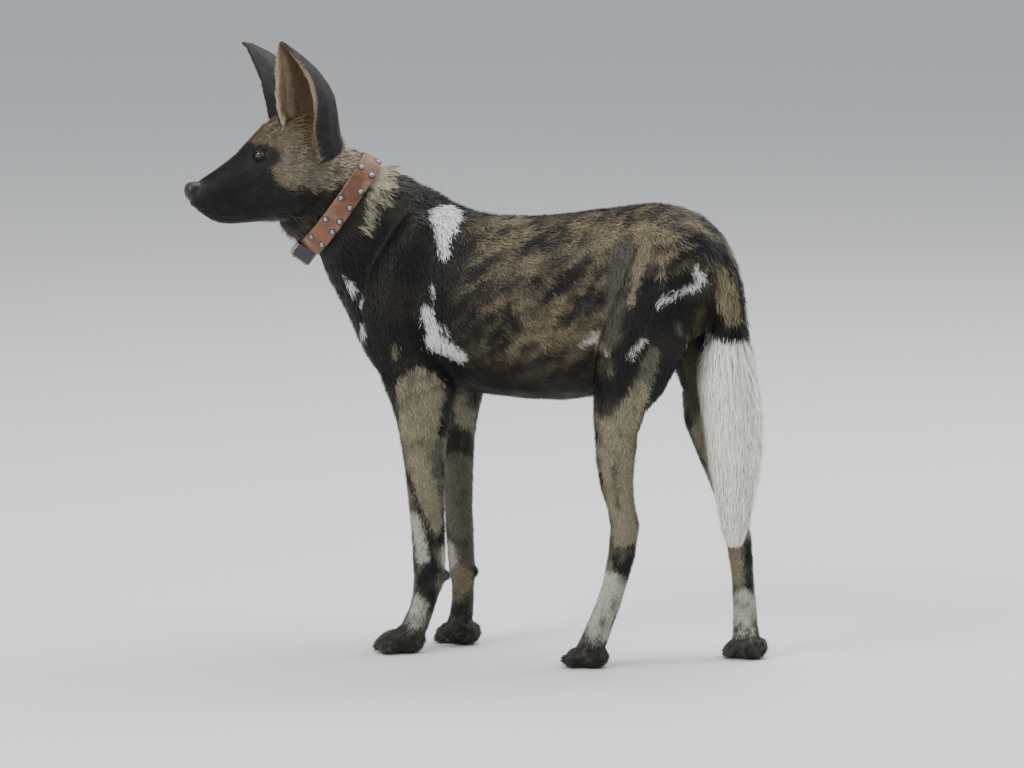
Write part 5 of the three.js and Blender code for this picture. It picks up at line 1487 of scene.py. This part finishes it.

# %% [markdown]
# Claws are worn horn, blunt and curved. They are wrapped and smoothed in the same way as the skin, all
# sixteen in one piece, with a faint grain in the relief.

# %% Claws
CLAW_VOXEL = 0.0007
CLAW_ROUNDS = 6
horn = finish("worn horn", tone(58, 48, 40),
              {"Scale": 300, "Darkest": 0.6, "Lightest": 1.6, "Smooth": 0.35, "Rough": 0.7},
              {"Pebbles": 500, "Grain": 2500, "Pebble share": 0.2, "Strength": 0.5, "Depth": 0.0004})
CLAW_NODES = [f"{leg}_claw_{k}" for leg in LEGS for k in range(1, 5)]
claw_points, claw_squares = wrapped(CLAW_NODES, CLAW_VOXEL)
claw_points = eased(claw_points, claw_squares, np.full(len(claw_points), CLAW_ROUNDS))
claw_points -= outward(claw_points, claw_squares) * SWELL
dressed(new_piece("claws", claw_points, claw_squares), horn, "claw", *CLAW_NODES)
print("claws", len(claw_squares), "squares")

# %% [markdown]
# The collar is one thick strap of oiled leather, about 33 mm wide, worn pale along its edges. Rays from
# outside find the solid band all the way round, and a smooth rounded strap is laid on what they find.

# %% Collar
STRAP_STEPS = 240
STRAP_ROUND = 0.0016
STRAP_THICK = 0.0052
STRAP_EASE = 9
STRAP_LOOKS = (-0.012, 0.0, 0.012)
RAY_START = 0.20
CROSS_STEPS = 18


def collar_point(angles, offsets, reach):
    """Places round the collar: angle from the lowest point, offset along the neck, distance out."""
    angles = np.asarray(angles, float)
    away = np.cos(angles)[..., None] * COLLAR_DOWN + np.sin(angles)[..., None] * COLLAR_SIDE
    offsets = np.broadcast_to(offsets, angles.shape)
    return COLLAR_CENTRE + offsets[..., None] * COLLAR_AXIS + np.asarray(reach)[..., None] * away


def strap_reach():
    """Outer distance of the band from the collar's middle at each angle, for three places across it."""
    mesh = bpy.data.objects["collar"].data
    tree = BVHTree.FromPolygons([v.co[:] for v in mesh.vertices], [p.vertices[:] for p in mesh.polygons])
    angles = np.arange(STRAP_STEPS) * 2 * math.pi / STRAP_STEPS
    reach = np.zeros((len(STRAP_LOOKS), STRAP_STEPS))
    for row, offset in enumerate(STRAP_LOOKS):
        starts = collar_point(angles, offset, np.full(STRAP_STEPS, RAY_START))
        ends = collar_point(angles, offset, np.zeros(STRAP_STEPS))
        for k in range(STRAP_STEPS):
            hit = tree.ray_cast(Vector(starts[k]), Vector(unit(ends[k] - starts[k])))
            reach[row, k] = RAY_START - hit[3] if hit[3] is not None else np.nan
    for row in reach:
        known = ~np.isnan(row)
        row[~known] = np.interp(np.flatnonzero(~known), np.flatnonzero(known), row[known])
    window = np.ones(2 * STRAP_EASE + 1) / (2 * STRAP_EASE + 1)
    wide = np.concatenate([reach[:, -STRAP_EASE:], reach, reach[:, :STRAP_EASE]], axis=1)
    return angles, np.stack([np.convolve(row, window, "valid") for row in wide])


STRAP_ANGLES, STRAP_REACH = strap_reach()


def strap_at(angles, offsets):
    """Outer distance of the strap at any angle and offset."""
    turned = np.mod(angles, 2 * math.pi)
    rows = [np.interp(turned, STRAP_ANGLES, row, period=2 * math.pi) for row in STRAP_REACH]
    slope = (rows[2] - rows[0]) / (STRAP_LOOKS[2] - STRAP_LOOKS[0])
    return (rows[0] + rows[1] + rows[2]) / 3 + slope * offsets


def strap_section():
    """Outline of the strap: offsets across it and depth below its outer face, with rounded edges."""
    half = COLLAR_WIDTH / 2 - 0.0004
    flat = np.linspace(-(half - STRAP_ROUND), half - STRAP_ROUND, CROSS_STEPS)
    crown = 0.0004 * (1 - (flat / half) ** 2)
    turn = np.linspace(0, math.pi, 9)[1:-1]
    front = [
        (half - STRAP_ROUND + STRAP_ROUND * math.sin(a), STRAP_THICK / 2 * (1 - math.cos(a)))
        for a in turn
    ]
    rear = [(-o, d) for o, d in front[::-1]]
    outer = list(zip(flat, -crown))
    inner = [(o, STRAP_THICK) for o in flat[::-1]]
    return np.array(outer + front + inner + rear)


leather = finish("worn leather", "wear_tone",
                 {"Scale": 60, "Darkest": 0.62, "Lightest": 1.25, "Smooth": 0.38, "Rough": 0.68},
                 {"Pebbles": 700, "Grain": 1600, "Pebble share": 0.5, "Strength": 0.55, "Depth": 0.0006})
LEATHER_TONE = tone(112, 70, 46)
LEATHER_PALE = tone(128, 100, 84)
LEATHER_DARK = tone(62, 40, 29)


def strap():
    """The leather band, with pale worn edges and darker patches of oil."""
    section = strap_section()
    angles = np.repeat(STRAP_ANGLES[:, None], len(section), axis=1)
    offsets = np.repeat(section[None, :, 0], STRAP_STEPS, axis=0)
    reach = strap_at(angles, offsets) - section[None, :, 1]
    points = collar_point(angles, offsets, reach).reshape(-1, 3)
    rows, size = STRAP_STEPS, len(section)
    near = np.arange(rows)[:, None] * size + np.arange(size)
    far = np.arange(rows)[:, None] * size + (np.arange(size) + 1) % size
    ahead = np.roll(near, -1, axis=0)
    beyond = np.roll(far, -1, axis=0)
    faces = np.stack([near, far, beyond, ahead], axis=2).reshape(-1, 4)
    band = new_piece("collar_strap", points, faces)
    worn = ramp(abs(offsets).ravel(), 0.0128, 0.0160) * ramp(clouds(points, 0.006, 31), 0.25, 0.6)
    oiled = ramp(clouds(points, 0.018, 32), 0.5, 0.75)
    colours = blended(np.tile(LEATHER_TONE, (len(points), 1)), LEATHER_DARK, oiled * 0.55)
    colours = blended(colours, LEATHER_PALE, ramp(clouds(points, 0.012, 33), 0.55, 0.8) * 0.6)
    colours = blended(colours, LEATHER_PALE, worn * 0.75)
    paint(band, "wear_tone", colours)
    return band


band = dressed(strap(), leather, "collar_leather", "collar")
print("strap", len(band.data.polygons), "faces, reach",
      STRAP_REACH.min().round(3), "to", STRAP_REACH.max().round(3))

# %% [markdown]
# Round-headed steel rivets stand in two staggered rows, each on a small dark washer. One turned profile
# gives the shape, and it is set round the strap in a loop.

# %% Rivets
RIVETS_FRONT = (149, 103, 68, 34, -34, -68, -103, -149)
RIVETS_REAR = (172, 148, 124, 99, 77, 61, 39, -39, -61, -77, -99, -124, -148)
RIVET_OFFSET = 0.0098
RIVET_SIDES = 24
DOME_PROFILE = [(0.0001, 2.6), (1.1, 2.5), (2.2, 2.1), (3.1, 1.4), (3.7, 0.6), (3.8, 0.0)]
WASHER_PROFILE = [(3.0, 0.8), (5.2, 0.75), (5.7, 0.45), (5.8, -0.8)]
steel = finish("dull steel", tone(150, 150, 152),
               {"Scale": 500, "Darkest": 0.7, "Lightest": 1.25, "Smooth": 0.22, "Rough": 0.45},
               {"Pebbles": 800, "Grain": 2500, "Pebble share": 0.2, "Strength": 0.2, "Depth": 0.0002},
               {"Metallic": 0.95})
dark_steel = finish("dark steel", tone(84, 80, 78),
                    {"Scale": 400, "Darkest": 0.6, "Lightest": 1.3, "Smooth": 0.3, "Rough": 0.6},
                    {"Pebbles": 600, "Grain": 2000, "Pebble share": 0.3, "Strength": 0.3, "Depth": 0.0003},
                    {"Metallic": 0.9})


def turned(profile, place, out):
    """A profile of radius and height, in millimetres, turned round the outward direction at a place."""
    first = unit(np.cross(out, COLLAR_AXIS))
    second = np.cross(out, first)
    angles = np.arange(RIVET_SIDES) * 2 * math.pi / RIVET_SIDES
    spin = np.cos(angles)[:, None] * first + np.sin(angles)[:, None] * second
    rings = [place + out * height * MM + spin * radius * MM for radius, height in profile]
    faces = []
    for k in range(len(profile) - 1):
        for c in range(RIVET_SIDES):
            near, far = k * RIVET_SIDES + c, k * RIVET_SIDES + (c + 1) % RIVET_SIDES
            faces.append((near, near + RIVET_SIDES, far + RIVET_SIDES, far))
    return np.concatenate(rings), np.array(faces)


def rivets(name, profile, material):
    """All rivet heads, or all washers, as one piece."""
    points, faces, total = [], [], 0
    for row, offset in ((RIVETS_FRONT, RIVET_OFFSET), (RIVETS_REAR, -RIVET_OFFSET)):
        for degrees in row:
            angle = np.array(math.radians(degrees))
            place = collar_point(angle, offset, strap_at(angle, offset))
            ends = [
                collar_point(angle + turn, offset, strap_at(angle + turn, offset))
                for turn in (-0.05, 0.05)
            ]
            lean = collar_point(angle, offset * 1.3, strap_at(angle, offset * 1.3)) - place
            out = unit(np.cross(ends[1] - ends[0], lean * np.sign(offset)))
            if out @ (place - COLLAR_CENTRE) < 0:
                out = -out
            ring, quads = turned(profile, place, out)
            points.append(ring)
            faces.append(quads + total)
            total += len(ring)
    return dressed(new_piece(name, np.concatenate(points), np.concatenate(faces)), material, "collar_metal")


rivets("rivet_domes", DOME_PROFILE, steel)
rivets("rivet_washers", WASHER_PROFILE, dark_steel)
print(len(RIVETS_FRONT) + len(RIVETS_REAR), "rivets")

# %% [markdown]
# Under the throat hangs a small sealed metal case on a saddle plate, held by bolts. Here it is a box
# with rounded edges, a raised lid, a plate on its front and four hexagonal bolt heads, in steel that
# is rubbed bright along its edges.

# %% Metal unit under the throat
UNIT_DROP = 0.099
UNIT_SIZE = np.array([0.0330, 0.0290, 0.0225])
UNIT_ROUND = 0.0030
LID_INSET = 0.0035
LID_THICK = 0.0016
LID_ROUND = 0.0005
BOLT_RADIUS = 0.0026
BOLT_HEIGHT = 0.0020
BOLT_PLACES = ((0.32, 0.30), (0.32, -0.30), (-0.32, 0.30), (-0.32, -0.30))
UNIT_MIDDLE = COLLAR_CENTRE + COLLAR_DOWN * UNIT_DROP
UNIT_AXES = np.array([COLLAR_AXIS, COLLAR_SIDE, COLLAR_DOWN])


def bevelled_box(size, rounding, segments=4):
    """A box with rounded edges, as a working mesh about its own middle."""
    box = bmesh.new()
    bmesh.ops.create_cube(box, size=1)
    for corner in box.verts:
        corner.co = Vector(np.array(corner.co) * size)
    bmesh.ops.bevel(box, geom=box.edges[:], offset=rounding, segments=segments, profile=0.6, affect="EDGES")
    return box


def placed(working, name, shift):
    """A working mesh set in the unit's own frame, moved by a shift in that frame."""
    mesh = bpy.data.meshes.new(name)
    bmesh.ops.triangulate(working, faces=working.faces)
    working.to_mesh(mesh)
    working.free()
    points, faces = read_mesh(mesh)
    bpy.data.meshes.remove(mesh)
    points = (points + np.asarray(shift)) @ UNIT_AXES + UNIT_MIDDLE
    piece = new_piece(name, points, faces)
    return piece


rubbed = finish("rubbed steel case", "wear_tone",
                {"Scale": 220, "Darkest": 0.65, "Lightest": 1.3, "Smooth": 0.26, "Rough": 0.5},
                {"Pebbles": 300, "Grain": 1800, "Pebble share": 0.25, "Strength": 0.35, "Depth": 0.0003},
                {"Metallic": 0.9})
CASE_DARK = tone(74, 72, 74)
CASE_BRIGHT = tone(186, 184, 182)


def rub_edges(piece):
    """Brightens the steel where it lies near an edge of the case."""
    points, _ = read_mesh_points(piece)
    inside = abs((points - UNIT_MIDDLE) @ UNIT_AXES.T)
    gap = np.sort(UNIT_SIZE / 2 - inside, axis=1)[:, 1]
    bright = (1 - ramp(gap, 0.0004, 0.0022)) * ramp(clouds(points, 0.004, 41), 0.2, 0.5)
    paint(piece, "wear_tone", blended(np.tile(CASE_DARK, (len(points), 1)), CASE_BRIGHT, bright))


def read_mesh_points(piece):
    """Points of a piece and how many there are."""
    points = np.empty(len(piece.data.vertices) * 3)
    piece.data.vertices.foreach_get("co", points)
    return points.reshape(-1, 3), len(points) // 3


def metal_unit():
    """Case, lid and bolts of the unit."""
    case = bevelled_box(UNIT_SIZE, UNIT_ROUND)
    bmesh.ops.subdivide_edges(case, edges=[e for e in case.edges if e.calc_length() > 0.008], cuts=8,
                              use_grid_fill=True)
    body = placed(case, "unit_case", (0, 0, 0))
    rub_edges(body)
    dressed(body, rubbed, "collar_metal", "collar_unit")
    lid_size = np.array([UNIT_SIZE[0] - 2 * LID_INSET, UNIT_SIZE[1] - 2 * LID_INSET, LID_THICK])
    lid = bevelled_box(lid_size, LID_ROUND, 2)
    cover = placed(lid, "unit_lid", (0, 0, UNIT_SIZE[2] / 2 + 0.0002))
    dressed(cover, dark_steel, "collar_metal")
    front = bevelled_box(np.array([0.0020, UNIT_SIZE[1] - 0.003, UNIT_SIZE[2] - 0.003]), 0.0006, 2)
    dressed(placed(front, "unit_front_plate", (UNIT_SIZE[0] / 2 + 0.0004, 0, 0)), steel, "collar_metal")
    for k, (along, across) in enumerate(BOLT_PLACES):
        head = bmesh.new()
        bmesh.ops.create_cone(head, cap_ends=True, segments=6,
                              radius1=BOLT_RADIUS, radius2=BOLT_RADIUS * 0.92,
                              depth=BOLT_HEIGHT)
        bmesh.ops.bevel(head, geom=head.edges[:], offset=0.0003, segments=2, affect="EDGES")
        spot = (along * UNIT_SIZE[0], across * UNIT_SIZE[1], UNIT_SIZE[2] / 2 + 0.0012)
        dressed(placed(head, f"unit_bolt_{k + 1}", spot), steel, "collar_metal")


metal_unit()
print("unit at", UNIT_MIDDLE.round(3))

# %% [markdown]
# A plain pale floor and large soft lights leave the coat to speak for itself. The camera stands eight
# metres away with a long lens, low and to the side, where the photographer stood.

# %% Floor, lights and camera
FLOOR_RADIUS = 60
CAMERA_PLACE = Vector((2.873, -7.378, 1.459))
CAMERA_TARGET = Vector((0.031, 0.027, 0.415))
CAMERA_LENS = 185.06
LIGHTS = {
    "key light": {"place": (-2.6, -4.6, 4.2), "size": 3.0, "power": 330},
    "sky light": {"place": (0.6, 1.2, 5.0), "size": 5.0, "power": 300},
    "rim light": {"place": (3.6, 3.0, 3.4), "size": 2.5, "power": 150},
}


def pale_floor():
    """A wide round floor with a faint mottle, so that it is never a flat colour."""
    disc = bmesh.new()
    bmesh.ops.create_circle(disc, cap_ends=True, segments=96, radius=FLOOR_RADIUS)
    mesh = bpy.data.meshes.new("floor")
    disc.to_mesh(mesh)
    disc.free()
    floor = bpy.data.objects.new("floor", mesh)
    bpy.context.scene.collection.objects.link(floor)
    finish = bpy.data.materials.new("pale floor")
    finish.use_nodes = True
    nodes = finish.node_tree.nodes
    shader = nodes["Principled BSDF"]
    shader.inputs["Roughness"].default_value = 0.85
    mottle = nodes.new("ShaderNodeTexNoise")
    mottle.inputs["Scale"].default_value = 0.6
    tones = nodes.new("ShaderNodeValToRGB")
    tones.color_ramp.elements[0].color = (0.60, 0.59, 0.57, 1)
    tones.color_ramp.elements[1].color = (0.66, 0.655, 0.64, 1)
    finish.node_tree.links.new(mottle.outputs["Fac"], tones.inputs["Fac"])
    finish.node_tree.links.new(tones.outputs["Color"], shader.inputs["Base Color"])
    mesh.materials.append(finish)
    floor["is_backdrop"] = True


def soft_lights():
    """Wide area lights that all face the middle of the dog, and a pale sky."""
    for name, light in LIGHTS.items():
        lamp = bpy.data.lights.new(name, "AREA")
        lamp.shape = "DISK"
        lamp.size = light["size"]
        lamp.energy = light["power"]
        holder = bpy.data.objects.new(name, lamp)
        holder.location = light["place"]
        holder.rotation_mode = "QUATERNION"
        holder.rotation_quaternion = (CAMERA_TARGET - holder.location).to_track_quat("-Z", "Y")
        bpy.context.scene.collection.objects.link(holder)
    sky = bpy.data.worlds.new("pale sky")
    sky.use_nodes = True
    sky.node_tree.nodes["Background"].inputs["Color"].default_value = (0.86, 0.90, 0.96, 1)
    sky.node_tree.nodes["Background"].inputs["Strength"].default_value = 0.75
    bpy.context.scene.world = sky


def place_camera():
    """The camera of the photograph, aimed at the middle of its picture."""
    lens = bpy.data.cameras.new("camera")
    lens.lens = CAMERA_LENS
    camera = bpy.data.objects.new("camera", lens)
    camera.location = CAMERA_PLACE
    camera.rotation_mode = "QUATERNION"
    camera.rotation_quaternion = (CAMERA_TARGET - CAMERA_PLACE).to_track_quat("-Z", "Y")
    bpy.context.scene.collection.objects.link(camera)
    bpy.context.scene.camera = camera


pale_floor()
soft_lights()
place_camera()
print("camera", round((CAMERA_PLACE - CAMERA_TARGET).length, 2), "m from its target")

# %% [markdown]
# Last the boxes of the solids and of the dressed dog are printed.

# %% Size and finish
low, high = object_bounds()
boxes = {"cad": [list(cad_low), list(cad_high)], "visual": [list(low), list(high)]}
for label, box in boxes.items():
    print(label, [[round(v, 4) for v in corner] for corner in box])
